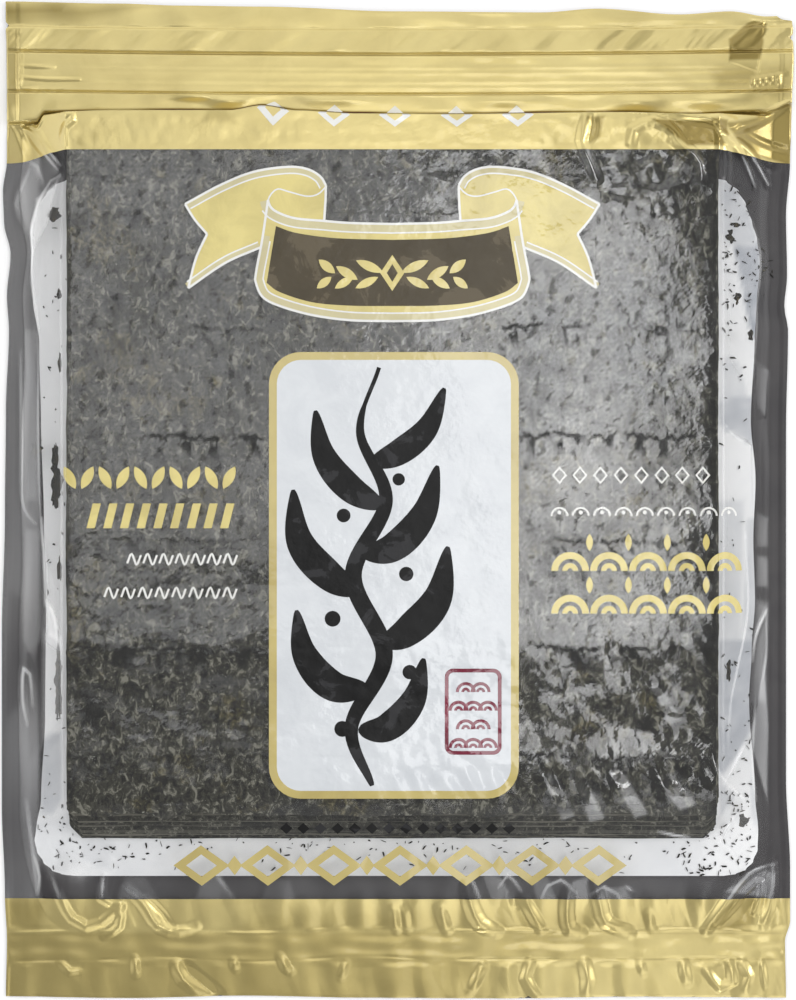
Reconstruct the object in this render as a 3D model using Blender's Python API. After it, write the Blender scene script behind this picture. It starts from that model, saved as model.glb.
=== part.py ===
import bpy
import numpy as np

# A sealed pouch of nori lying on its back, front up. Sizes in millimetres,
# written out in metres. X runs across, Y towards the zip header, Z up.
MM = 0.001

HALF_W = 116.8
HALF_H = 146.9

# The stack under the film: edges of its top sheet, and the height of the film on it.
STACK_LEFT = -96.7
STACK_RIGHT = 93.4
STACK_HEAD = 110.9
STACK_FOOT = -88.6
STACK_TOP = 13.9

# Where the film comes down from the stack to the seals.
SEAL_TOP = 0.9
FALL_LEFT = 15.2
FALL_RIGHT = 18.0
FALL_FOOT = 38.6
FALL_HEAD = 2.2
SIDE_SAG = 1.45
FOOT_SAG = 1.35

# Header: the crease under it, the lower strip, the zip and the top seal.
CREASE = 113.4
LOW_STRIP_TOP = 2.9
ZIP_LOW = 120.6
ZIP_HIGH = 131.6
ZIP_TOP = 3.0
ZIP_END = 113.0
RIBS = (122.2, 124.0, 126.6, 128.2)
RIB_TALL = 0.45
RIB_WIDE = 0.55
SEAL_LINE = 140.1
WRINKLED_TOP = 2.2
WRINKLE_SLANT = 1.25
HEAD_SAG = 1.1

# Foot: two pressed lines across the bottom seal.
FOOT_LINES = (-127.4, -135.4)
FOOT_LINE_DEEP = 0.35

# Short runs of (place, inset) that give the outline its wave.
LEFT_INSET = ((-146.9, 1.2), (-130.0, 1.5), (-116.0, 0.9), (-90.0, 0.0), (-40.0, 0.0),
              (-5.0, 0.9), (26.0, 1.2), (50.0, 2.1), (60.0, 1.5), (72.5, 2.6),
              (82.0, 0.6), (91.0, 0.3), (100.0, 1.5), (146.9, 1.2))
RIGHT_INSET = ((-146.9, 2.4), (-130.0, 2.7), (-124.0, 1.2), (-109.0, 1.2), (-82.0, 2.4),
               (20.0, 2.4), (50.0, 1.8), (57.0, 2.9), (66.0, 2.1), (84.0, 2.4),
               (100.0, 1.2), (116.0, 0.6), (130.0, 0.0), (146.9, 0.9))
HEAD_INSET = ((-116.8, 0.0), (-83.0, 0.6), (-64.0, 1.2), (-40.0, 1.5), (0.0, 2.9),
              (42.0, 3.2), (59.0, 2.1), (83.0, 3.8), (98.0, 2.9), (109.0, 4.4),
              (116.8, 4.1))
FOOT_INSET = ((-116.8, 0.6), (-80.0, 0.1), (-45.0, 0.8), (-10.0, 0.2), (30.0, 0.0),
              (70.0, 0.5), (116.8, 0.2))
CREASE_BEND = ((-116.8, -2.6), (-106.6, -2.6), (-103.8, 0.0), (-81.7, 0.6),
               (-49.0, 0.6), (-39.8, 2.0), (-29.0, 0.5), (-12.0, -0.4), (13.0, -0.6),
               (66.0, 0.0), (86.0, -0.6), (108.0, 0.3), (116.8, 2.9))
CORNER_CUT = 2.2
NOTCH_DEEP = 0.9
LEFT_NOTCH = 139.8
RIGHT_NOTCH = 136.3

# Folds that stand up from the film: from x, y to x, y, then half width and height.
CORNER_FOLDS = (
    (-112.0, 113.0, -108.6, 101.2, 1.5, 1.0),
    (-111.6, 112.6, -100.0, 95.4, 1.6, 1.2),
    (-94.6, 110.0, -94.6, 102.0, 1.4, -0.7),
    (53.6, 110.4, 53.9, 96.0, 1.6, 0.8),
    (57.5, 110.4, 58.5, 92.0, 1.6, -0.7),
    (75.0, 109.0, 80.6, 103.0, 1.8, 1.1),
    (80.6, 103.0, 85.6, 93.6, 1.8, 0.9),
    (94.0, 103.8, 108.8, 112.6, 1.7, 1.6),
    (94.0, 103.8, 104.6, 93.2, 1.7, 1.3),
    (94.0, 103.8, 114.4, 98.8, 1.9, 0.9),
)
FOOT_FOLDS = (
    (-101.8, -110.0, -99.6, -119.6, 1.5, 1.1),
    (-99.6, -119.6, -93.8, -124.4, 1.5, 0.9),
    (-88.4, -110.0, -82.4, -120.8, 1.6, 1.1),
    (-79.0, -115.0, -70.4, -127.0, 1.8, 1.0),
    (0.8, -117.0, 1.4, -126.4, 1.6, 0.8),
    (12.8, -117.0, 15.0, -126.6, 1.8, 0.8),
    (21.4, -110.6, 29.8, -126.6, 1.8, 1.2),
    (35.2, -113.0, 37.0, -126.4, 1.7, 1.0),
    (48.6, -113.0, 50.6, -126.4, 1.8, 1.2),
    (56.0, -111.0, 66.0, -126.4, 2.0, 1.1),
    (91.2, -127.0, 102.2, -112.2, 1.7, 1.6),
    (102.2, -112.2, 111.0, -107.2, 1.6, 1.4),
    (111.0, -107.2, 111.6, -126.4, 1.6, 1.2),
    (-65.0, -134.0, -56.0, -146.0, 2.2, 0.7),
    (24.0, -136.4, 20.4, -146.0, 1.8, 0.6),
    (38.4, -136.4, 39.4, -146.0, 1.8, 0.6),
    (57.4, -136.4, 58.8, -146.0, 1.8, 0.6),
    (84.0, -136.8, 85.4, -145.0, 1.6, 0.5),
)
# Shallow swells of the lower header strip: x, y, half length, half width, height.
SWELLS = (
    (-59.3, 119.0, 7.0, 1.8, 0.7),
    (-49.5, 116.9, 4.5, 1.7, 0.8),
    (-18.0, 117.6, 7.0, 1.8, 0.5),
    (31.0, 117.4, 8.0, 1.9, 0.5),
    (70.0, 116.6, 7.0, 2.2, 1.1),
    (92.0, 117.4, 8.0, 2.0, 0.8),
)

# Grid: fine lines where the film folds, wide ones over the flat window.
ROW_BANDS = ((-146.9, -136.0, 5), (-136.0, -126.6, 7), (-126.6, -99.0, 9),
             (-99.0, -86.0, 4), (-86.0, 92.0, 22), (92.0, 109.6, 5),
             (109.6, 114.4, 5), (114.4, 120.6, 4), (120.6, 131.8, 13),
             (131.8, 138.6, 4), (138.6, 141.0, 3), (141.0, 146.9, 2))
COLUMN_BANDS = ((-116.8, -111.6, 2), (-111.6, -95.2, 6), (-95.2, 91.6, 46),
                (91.6, 112.6, 7), (112.6, 116.8, 2))


def run(stations, at):
    """Smooth value along a short run of stations."""
    places = np.array([s[0] for s in stations])
    values = np.array([s[1] for s in stations])
    slot = np.clip(np.searchsorted(places, at) - 1, 0, len(places) - 2)
    part = np.clip((at - places[slot]) / (places[slot + 1] - places[slot]), 0.0, 1.0)
    part = part * part * (3.0 - 2.0 * part)
    return values[slot] + part * (values[slot + 1] - values[slot])


def step(edge_a, edge_b, at):
    """0 before edge_a, 1 after edge_b, smooth between."""
    part = np.clip((at - edge_a) / (edge_b - edge_a), 0.0, 1.0)
    return part * part * (3.0 - 2.0 * part)


def tent(u, v):
    """The film as it comes down from the stack to the seals."""
    side = np.maximum((STACK_LEFT - u) / FALL_LEFT, (u - STACK_RIGHT) / FALL_RIGHT)
    side = np.maximum(side, 0.0)
    foot = np.maximum((STACK_FOOT - v) / FALL_FOOT, 0.0)
    head = np.maximum((v - STACK_HEAD) / FALL_HEAD, 0.0)
    away = np.clip(np.hypot(np.hypot(side, foot), head), 0.0, 1.0)
    share = foot / np.maximum(side + foot, 1e-6)
    sag = SIDE_SAG + (FOOT_SAG - SIDE_SAG) * share
    return (STACK_TOP - SEAL_TOP) * (1.0 - away) ** sag


def header(u, v):
    """The zip header above the crease."""
    inside = step(CREASE - 2.0, CREASE, v)
    low = LOW_STRIP_TOP * step(CREASE - 1.0, CREASE + 2.6, v)
    low = low * (1.0 - step(ZIP_LOW - 0.8, ZIP_LOW, v)) + 0.5 * inside
    band = step(ZIP_LOW - 0.6, ZIP_LOW + 0.3, v) * (1.0 - step(ZIP_HIGH, ZIP_HIGH + 0.8, v))
    band = band * (ZIP_TOP - SEAL_TOP)
    for rib in RIBS:
        band = band + RIB_TALL * np.exp(-((v - rib) / RIB_WIDE) ** 2)
    band = band * (1.0 - step(ZIP_END - 1.6, ZIP_END, np.abs(u)))
    above = step(ZIP_HIGH + 0.2, ZIP_HIGH + 1.4, v) * (1.0 - step(SEAL_LINE - 1.0, SEAL_LINE, v))
    reach = np.clip((v - ZIP_HIGH) / (SEAL_LINE - ZIP_HIGH), 0.0, 1.0)
    along = u - WRINKLE_SLANT * (v - ZIP_HIGH)
    wave = np.sin(along * 0.55 + 1.2 * np.sin(along * 0.043)) + 0.6 * np.sin(along * 0.31 + 2.0)
    above = above * (WRINKLED_TOP - SEAL_TOP) * (1.0 - 0.5 * reach)
    above = above + 0.36 * wave * np.sin(np.pi * reach) * step(ZIP_HIGH, ZIP_HIGH + 1.0, v)
    edge = 1.0 - step(HALF_W - 6.0, HALF_W - 2.6, np.abs(u))
    return (low + above) * edge + band


def fold(u, v, line):
    """A rounded fold along one straight line, fading at both ends."""
    x0, y0, x1, y1, wide, tall = line
    dx, dy = x1 - x0, y1 - y0
    along = np.clip(((u - x0) * dx + (v - y0) * dy) / (dx * dx + dy * dy), 0.0, 1.0)
    away = np.hypot(u - x0 - along * dx, v - y0 - along * dy)
    fade = 0.35 + 0.65 * np.sin(np.pi * along)
    return tall * fade * np.exp(-(away / wide) ** 2)


def ripple(u, v):
    """Slow waves of the whole film."""
    wave = np.sin(u * 0.071 + 1.3 * np.sin(v * 0.043)) * np.sin(v * 0.058 + 0.7)
    return wave + 0.6 * np.sin(u * 0.17 + v * 0.11 + np.sin(v * 0.21))


def height(u, v):
    """Top of the pouch over the place u, v of the flat pattern."""
    z = SEAL_TOP + tent(u, v) + header(u, v) * step(CREASE - 2.0, CREASE + 0.4, v)
    for line in CORNER_FOLDS + FOOT_FOLDS:
        z = z + fold(u, v, line)
    for x, y, long, wide, tall in SWELLS:
        z = z + tall * np.exp(-((u - x) / long) ** 2 - ((v - y) / wide) ** 2)
    for line in FOOT_LINES:
        z = z + FOOT_LINE_DEEP * (np.exp(-((v - line - 0.9) / 1.2) ** 2)
                                  - np.exp(-((v - line) / 0.8) ** 2))
    rim = np.minimum(HALF_W - np.abs(u), HALF_H - np.abs(v))
    z = z + 0.16 * ripple(u, v) * step(0.0, 8.0, rim)
    return np.maximum(z, 0.7)


def place(u, v):
    """Where a point of the flat pattern lies in plan."""
    to_left = 1.0 - step(-HALF_W, -HALF_W + 16.0, u)
    to_right = step(HALF_W - 16.0, HALF_W, u)
    to_head = step(HALF_H - 7.0, HALF_H, v)
    to_foot = 1.0 - step(-HALF_H, -HALF_H + 9.0, v)
    left = run(LEFT_INSET, v) + NOTCH_DEEP * np.exp(-((v - LEFT_NOTCH) / 0.7) ** 2)
    right = run(RIGHT_INSET, v) + NOTCH_DEEP * np.exp(-((v - RIGHT_NOTCH) / 0.7) ** 2)
    x = u + left * to_left - right * to_right
    y = v - run(HEAD_INSET, u) * to_head + run(FOOT_INSET, u) * to_foot
    y = y + run(CREASE_BEND, u) * np.exp(-((v - CREASE) / 3.6) ** 2)
    zip_zone = step(CREASE + 3.0, ZIP_LOW, v) * (1.0 - step(SEAL_LINE, HALF_H - 2.0, v))
    y = y - HEAD_SAG * (1.0 - (u / HALF_W) ** 2) * zip_zone
    corner = (u > HALF_W - 0.01) & (v > HALF_H - 0.01)
    return x - corner * CORNER_CUT, y - corner * CORNER_CUT * 0.8


def lines(bands):
    """Grid lines from bands of (from, to, count)."""
    out = [bands[0][0]]
    for start, end, count in bands:
        out += [start + (end - start) * (i + 1) / count for i in range(count)]
    return np.array(out)


def pouch_mesh():
    rows, columns = lines(ROW_BANDS), lines(COLUMN_BANDS)
    u, v = np.meshgrid(columns, rows)
    x, y = place(u, v)
    z = height(u, v)
    x = x - (x.min() + x.max()) / 2
    y = y - (y.min() + y.max()) / 2
    tall, wide = u.shape
    verts = [(a * MM, b * MM, c * MM) for a, b, c in zip(x.flat, y.flat, z.flat)]
    faces = []
    for r in range(tall - 1):
        for c in range(wide - 1):
            a = r * wide + c
            faces.append((a, a + 1, a + wide + 1, a + wide))
    rim = [c for c in range(wide)]
    rim += [r * wide + wide - 1 for r in range(1, tall)]
    rim += [(tall - 1) * wide + c for c in range(wide - 2, -1, -1)]
    rim += [r * wide for r in range(tall - 2, 0, -1)]
    under = {}
    for i in rim:
        under[i] = len(verts)
        verts.append((verts[i][0], verts[i][1], 0.0))
    for i, j in zip(rim, rim[1:] + rim[:1]):
        faces.append((j, i, under[i], under[j]))
    foot = [c for c in range(wide)]
    head = [(tall - 1) * wide + c for c in range(wide)]
    faces.append([under[i] for i in [wide, 2 * wide - 1] + foot[::-1]])
    faces.append([under[i] for i in head + [(tall - 1) * wide - 1, (tall - 2) * wide]])
    for r in range(1, tall - 2):
        a, b = r * wide, (r + 1) * wide
        faces.append([under[i] for i in (a, b, b + wide - 1, a + wide - 1)])
    mesh = bpy.data.meshes.new("pouch")
    mesh.from_pydata(verts, [], faces)
    mesh.update()
    return mesh


def film_material():
    mat = bpy.data.materials.new("pouch_film")
    mat.use_nodes = True
    shader = mat.node_tree.nodes["Principled BSDF"]
    shader.inputs["Base Color"].default_value = (0.34, 0.30, 0.17, 1.0)
    shader.inputs["Roughness"].default_value = 0.25
    mat.diffuse_color = (0.34, 0.30, 0.17, 1.0)
    return mat


def main():
    for ob in list(bpy.data.objects):
        bpy.data.objects.remove(ob, do_unlink=True)
    pouch = bpy.data.objects.new("pouch", pouch_mesh())
    bpy.context.scene.collection.objects.link(pouch)
    pouch.data.materials.append(film_material())
    for face in pouch.data.polygons[:(len(lines(ROW_BANDS)) - 1) * (len(lines(COLUMN_BANDS)) - 1)]:
        face.use_smooth = True


main()
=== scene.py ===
import math

import bpy
import numpy as np
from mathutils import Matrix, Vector
from mathutils.geometry import delaunay_2d_cdt


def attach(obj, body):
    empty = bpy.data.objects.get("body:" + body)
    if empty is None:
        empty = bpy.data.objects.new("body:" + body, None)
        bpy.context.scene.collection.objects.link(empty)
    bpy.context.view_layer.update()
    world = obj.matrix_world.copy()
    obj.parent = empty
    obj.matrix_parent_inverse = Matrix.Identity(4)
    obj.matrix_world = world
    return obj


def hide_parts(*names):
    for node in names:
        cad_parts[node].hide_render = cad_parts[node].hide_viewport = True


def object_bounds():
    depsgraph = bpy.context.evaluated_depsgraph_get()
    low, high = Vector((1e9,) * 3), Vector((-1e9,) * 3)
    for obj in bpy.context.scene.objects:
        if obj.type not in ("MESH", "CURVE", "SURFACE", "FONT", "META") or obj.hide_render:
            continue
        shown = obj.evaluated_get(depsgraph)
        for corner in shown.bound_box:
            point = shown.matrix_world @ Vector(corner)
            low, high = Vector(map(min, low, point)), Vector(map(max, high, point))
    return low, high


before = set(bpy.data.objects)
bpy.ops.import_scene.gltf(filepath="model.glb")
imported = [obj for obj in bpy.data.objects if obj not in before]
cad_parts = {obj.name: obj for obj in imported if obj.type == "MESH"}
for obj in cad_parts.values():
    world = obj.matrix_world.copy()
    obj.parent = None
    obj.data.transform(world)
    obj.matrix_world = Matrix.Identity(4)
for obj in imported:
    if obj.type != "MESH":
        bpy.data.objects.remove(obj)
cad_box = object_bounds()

# A sealed pouch of nori, front up: clear film over a stack of sheets, gold ends.
# Sizes are millimetres of the flat pattern (u across, v towards the zip header),
# and meshes are written in metres.
MM = 0.001

# Form of the film, as in the solid.
HALF_W = round(cad_box[1][0] / MM, 1)
HALF_H = round(cad_box[1][1] / MM, 1)
STACK_LEFT = -96.7
STACK_RIGHT = 93.4
STACK_FOOT = -88.6
STACK_TOP = 13.9
SEAL_TOP = 0.9
FALL_LEFT = 15.2
FALL_RIGHT = 18.0
FALL_FOOT = 38.6
SIDE_SAG = 1.45
FOOT_SAG = 1.35
CREASE = 113.4
LOW_STRIP_TOP = 2.9
ZIP_LOW = 120.6
ZIP_HIGH = 131.6
ZIP_TOP = 2.6
ZIP_END = 113.0
RIGHT_END_SHARE = 0.3
RIBS = (122.2, 124.0, 126.6, 128.2)
RIB_TALL = 0.035
RIB_WIDE = 0.6
SEAL_LINE = 140.1
WRINKLED_TOP = 2.2
WRINKLE_SLANT = 1.25
HEAD_SAG = 1.1
FOOT_LINES = (-127.4, -135.4)
FILM_LEAST = 0.6

# How far the edges lie in from the full width and height, as (place, inset), and how
# far the crease bends up or down.
LEFT_INSET = ((-HALF_H, 1.2), (-130.0, 1.5), (-116.0, 0.9), (-90.0, 0.0), (-40.0, 0.0),
              (-5.0, 0.9), (26.0, 1.2), (50.0, 2.1), (60.0, 1.5), (72.5, 2.6),
              (82.0, 0.6), (91.0, 0.3), (100.0, 1.5), (HALF_H, 1.2))
RIGHT_INSET = ((-HALF_H, 2.4), (-130.0, 2.7), (-124.0, 1.2), (-109.0, 1.2), (-82.0, 2.4),
               (20.0, 2.4), (50.0, 1.8), (57.0, 2.9), (66.0, 2.1), (84.0, 2.4),
               (100.0, 1.2), (116.0, 0.6), (130.0, 0.0), (HALF_H, 0.9))
HEAD_INSET = ((-HALF_W, 0.0), (-83.0, 0.6), (-64.0, 1.2), (-40.0, 1.5), (0.0, 2.9),
              (42.0, 3.2), (59.0, 2.1), (83.0, 3.8), (98.0, 2.9), (109.0, 4.4),
              (HALF_W, 4.1))
FOOT_INSET = ((-HALF_W, 0.6), (-80.0, 0.1), (-45.0, 0.8), (-10.0, 0.2), (30.0, 0.0),
              (70.0, 0.5), (HALF_W, 0.2))
CREASE_BEND = ((-HALF_W, -2.6), (-106.6, -2.6), (-103.8, 0.0), (-81.7, 0.6),
               (-49.0, 0.6), (-39.8, 2.0), (-29.0, 0.5), (-12.0, -0.4), (13.0, -0.6),
               (66.0, 0.0), (86.0, -0.6), (108.0, 0.3), (HALF_W, 2.9))
CORNER_CUT = 2.2
NOTCH_DEEP = 0.9
LEFT_NOTCH = 139.8
RIGHT_NOTCH = 136.3
NOTCH_WIDE = 0.7
CREASE_BEND_WIDE = 3.6

# How far in from each edge the insets fade out.
SIDE_FADE = 16.0
HEAD_FADE = 7.0
FOOT_FADE = 9.0

# Gold ends: where the print stops on the flat pattern.
GOLD_HEAD = 101.9
GOLD_HEAD_DROP = 2.7
GOLD_FOOT = -117.4

# The film's own fit: how the front film meets the back film, and how it hugs the stack.
# Each seal is where the back film comes up to the front: from, to.
SIDE_SEAL = (9.0, 3.0)
FOOT_SEAL = (-124.0, -130.0)
HEAD_SEAL = (134.0, 141.0)
GAP_GROWS = 0.35
RIM_SHARE = 0.15
RIM_SOFT = 0.5
FILM_GAP = 0.12
TABLE_GAP = 0.08
FILM_HEAD = 112.8
FILM_HEAD_FALL = 0.5
FOOT_EASE = 2.4
BACK_THICK = 0.06
PANEL_LIFT = 0.04

# How far above the film the print lies: a shape under others, a shape alone, a shape
# over others, brush strokes, and thin lines over all.
INK_UNDER = 0.03
INK_ALONE = 0.04
INK_OVER = 0.05
INK_BRUSH = 0.06
INK_LINE = 0.075

# How rough the clear film is where it lies flat, and how much more where it hangs
# free; what share of it mirrors off the sheets, on them, less so low down, and the painted
# brighter reflection on the left margin; and how that grows at a glancing view.
FLAT_ROUGH = 0.08
FREE_ROUGH = 0.27
FILM_MIRROR = 0.018
SHEET_MIRROR = 0.088
LOW_LESS = 0.009
# Painted reflection: the extra mirror share that makes the left margin brighter.
LEFT_GLARE = 0.13
LEAST_MIRROR = 0.004
MOST_MIRROR = 0.8
GLANCE_POWER = 4.0

# Creases that are both a fold and a line of light.
LEFT_SWEEP = ((-98.5, 94.4), (-101.5, 93.2), (-104.1, 90.0), (-106.8, 84.7), (-108.6, 78.2),
              (-109.1, 72.0), (-108.6, 64.3), (-107.1, 57.2))
LEFT_LONG = ((-113.0, 44.2), (-112.1, 29.5), (-111.8, 11.8), (-111.5, 0.0), (-109.4, -4.7),
             (-106.8, -7.1))
LEFT_LOOP = ((-109.1, -66.4), (-110.6, -59.0), (-110.3, -49.6), (-108.3, -51.3), (-107.4, -60.5))
RIGHT_HOOK = ((110.0, -32.7), (105.9, -40.1), (104.4, -47.8))
STAR = (95.3, -82.0)
STAR_UP = (STAR, (98.8, -76.7), (102.4, -70.8))
STAR_DOWN = (STAR, (99.7, -86.1), (104.4, -90.6))
STAR_IN = (STAR, (92.6, -78.5), (91.4, -74.3))
CORNER_LEFT = ((-107.7, 105.6), (-103.8, 101.5), (-99.1, 96.2))
CORNER_INNER = ((84.4, 101.8), (87.9, 97.9), (88.5, 93.2))
CORNER_LONG = ((102.4, 102.9), (110.0, 92.9))
CORNER_SHORT = ((100.9, 100.3), (105.3, 92.0))
FOOT_LEFT = ((-101.5, -110.9), (-99.1, -118.0))
FOOT_LEFT_SHORT = ((-86.7, -109.7), (-87.3, -117.1))
FOOT_RIGHT = ((90.9, -126.8), (96.8, -118.0), (102.7, -110.3), (111.2, -107.4))

# A fold's full reach for its half width, and the pitch of the points along it.
FOLD_REACH = 1.8
FOLD_PITCH = 2.5

# How many waves a wave field adds up, the size of the table of random heights that
# facets are drawn from, and a distance beyond all.
WAVES_ADDED = 16
FACET_TABLE = 64
FAR = 1e3

# Folds as (half width, height, path); a height below zero is a groove.
CORNER_FOLDS = (
    (1.2, 0.9, ((54.6, 111.2), (53.4, 104.4), (55.8, 98.2), (57.8, 93.2))),
    (1.0, -0.5, ((57.2, 111.5), (56.6, 106.2), (54.6, 102.7))),
    (1.2, 0.8, ((67.6, 103.8), (68.4, 107.7), (71.4, 109.4), (74.6, 110.0), (78.5, 108.6),
                (80.8, 106.2), (83.2, 102.1))),
    (1.1, 0.8, ((79.6, 104.4), *CORNER_INNER)),
    (1.3, 1.0, ((74.3, 111.8), (86.1, 111.8), (95.6, 111.2), (99.4, 110.0), (116.2, 114.7))),
    (0.9, -0.6, ((73.7, 109.1), (78.5, 111.5), (86.1, 110.3), (93.2, 109.1))),
    (1.1, 1.3, ((95.0, 106.2), *CORNER_LONG)),
    (1.0, 1.1, ((95.0, 106.2), *CORNER_SHORT)),
    (1.0, 1.0, ((95.0, 106.2), (101.2, 108.8), (107.4, 111.2))),
    (0.9, 0.8, ((95.0, 106.2), (92.6, 109.7), (89.1, 111.5))),
    (0.9, 0.7, ((99.4, 103.2), (105.6, 100.3), (115.6, 98.2))),
    (0.9, 0.6, ((95.6, 105.6), (96.2, 98.8), (95.9, 90.9))),
    (0.9, -0.5, ((98.8, 109.1), (106.8, 105.6), (115.9, 103.2))),
    (0.5, 0.35, ((104.4, 124.5), (104.4, 122.1))),
    (0.5, 0.35, ((105.9, 124.8), (106.2, 122.4))),
    (0.5, 0.35, ((107.7, 124.8), (108.0, 122.7))),
    (0.5, 0.3, ((109.7, 125.1), (110.0, 123.0))),
    (0.5, 0.35, ((112.1, 125.4), (112.4, 122.7))),
    (0.6, 0.3, ((104.4, 123.9), (114.2, 125.4))),
    (0.9, 0.5, ((-108.3, 111.8), (-106.5, 110.6), (-105.0, 111.8), (-102.9, 113.0))),
    (0.9, 0.8, ((-97.6, 111.8), (-94.7, 111.8), (-94.7, 110.3), (-96.8, 108.6), (-97.6, 106.2),
                (-97.3, 103.2))),
    (0.9, 0.9, ((-112.1, 112.7), *CORNER_LEFT)),
    (0.9, 0.8, ((-109.7, 110.9), (-104.4, 104.4), (-98.2, 98.2))),
    (0.8, 0.7, ((-108.3, 112.7), (-102.7, 103.2), (-97.9, 95.0))),
    (0.8, 0.35, ((-112.2, 132.2), (-112.5, 122.7))),
    (1.2, 0.4, ((-114.7, 115.6), (-111.8, 107.1), (-110.3, 102.7))),
    (0.5, 0.25, ((-112.4, 127.7), (-101.2, 127.6))),
    (0.5, 0.3, ((-112.4, 124.5), (-103.2, 124.0), (-93.8, 124.2))),
    (0.5, 0.25, ((-112.4, 120.9), (-106.8, 121.2))),
)
FOOT_FOLDS = (
    (1.2, 0.65, (*FOOT_LEFT, (-96.2, -123.3), (-92.0, -125.7), (-87.6, -124.5), (-81.7, -119.5))),
    (1.1, 0.55, (*FOOT_LEFT_SHORT, (-81.7, -119.5))),
    (1.0, 0.45, ((-81.7, -119.5), (-82.3, -125.7), (-86.7, -128.6))),
    (1.3, 0.75, ((-80.8, -113.3), (-75.5, -118.6), (-70.8, -125.7), (-64.6, -127.1), (-59.6, -125.7))),
    (0.9, -0.6, ((-73.7, -116.8), (-69.0, -122.1), (-66.7, -125.7))),
    (1.2, 0.5, ((-1.5, -120.4), (-0.3, -126.8))),
    (1.1, 0.35, ((1.8, -120.6), (2.7, -126.8))),
    (1.3, 0.6, ((12.1, -120.1), (14.5, -126.8))),
    (1.6, 1.2, ((20.1, -113.3), (21.5, -119.5), (24.2, -124.8), (28.9, -127.1))),
    (1.3, 0.9, ((36.9, -117.4), (42.2, -126.5))),
    (1.1, -0.5, ((33.6, -115.0), (34.8, -119.5))),
    (1.5, 1.1, ((49.9, -115.0), (49.6, -121.5), (50.7, -126.5), (53.7, -127.1))),
    (1.5, 1.1, ((57.8, -113.3), (59.6, -119.5), (61.4, -124.5), (68.1, -127.4))),
    (1.1, 0.3, ((73.7, -121.5), (74.9, -126.8))),
    (1.3, 1.5, FOOT_RIGHT),
    (1.3, 1.4, ((111.2, -107.4), (111.2, -113.6), (110.0, -120.4), (108.3, -125.1))),
    (1.0, 1.0, ((94.4, -124.8), (102.7, -115.0), (107.4, -112.7), (106.8, -118.6), (105.6, -121.5))),
    (1.4, 0.7, ((-65.5, -136.9), (-63.4, -141.6), (-57.8, -146.3))),
    (1.4, -0.7, ((-62.5, -137.5), (-56.0, -143.1), (-52.8, -146.3))),
    (1.0, 0.35, ((-77.6, -135.1), (-77.3, -140.1))),
    (0.9, 0.3, ((-99.7, -136.3), (-96.8, -139.2), (-94.1, -138.9))),
    (1.1, 0.35, ((-34.8, -134.5), (-33.0, -138.1), (-31.6, -139.2))),
    (1.0, 0.3, ((-15.3, -136.3), (-16.8, -141.0))),
    (1.2, 0.6, ((25.1, -137.5), (21.5, -144.5))),
    (1.2, 0.7, ((38.9, -136.3), (37.5, -141.0), (40.7, -146.3))),
    (1.4, 0.8, ((54.9, -136.3), (56.0, -141.6), (55.5, -146.3))),
    (1.2, 0.45, ((84.1, -136.3), (85.3, -142.8))),
    (1.1, 0.7, ((90.9, -138.6), (95.0, -144.0), (98.5, -142.2), (97.6, -136.6))),
    (1.2, 0.7, ((101.5, -136.3), (103.8, -140.4), (102.7, -144.0))),
    (1.0, 0.4, ((108.6, -136.3), (109.4, -143.1))),
    (1.0, 0.3, ((-48.7, -135.7), (-47.8, -138.6))),
    (1.0, 0.3, ((71.4, -136.3), (72.3, -139.8))),
)

# Low swells under the crease as (u, v, half length, half width, height).
SWELLS = (
    (-59.3, 119.0, 7.0, 1.8, 0.7),
    (-49.5, 116.9, 4.5, 1.7, 0.8),
    (-18.0, 117.6, 7.0, 1.8, 0.5),
    (31.0, 117.4, 8.0, 1.9, 0.5),
    (70.0, 116.6, 7.0, 2.2, 1.1),
    (92.0, 117.4, 8.0, 2.0, 0.8),
)

# Flat facets of the film: corners (u, v), and the slope across and along.
PATCHES = (
    (((98.0, 136.6), (108.3, 141.9), (105.9, 126.0), (97.6, 129.2)), -0.03, 0.06),
    (((78.2, 111.5), (91.4, 110.0), (95.3, 104.1), (84.1, 104.1)), 0.06, 0.05),
    (((96.4, 74.0), (100.8, 74.0), (104.5, 49.0), (104.5, 42.0), (96.6, 42.0)), 0.14, 0.02),
    (((97.0, 41.0), (104.4, 30.0), (104.4, 16.2), (95.9, 21.0)), -0.16, 0.06),
    (((95.6, 21.0), (104.0, 16.0), (104.4, -10.0), (96.0, -14.0)), 0.12, 0.03),
    (((105.6, 40.2), (110.6, 38.0), (110.2, 24.6), (105.4, 23.6)), -0.10, 0.05),
)
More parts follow.
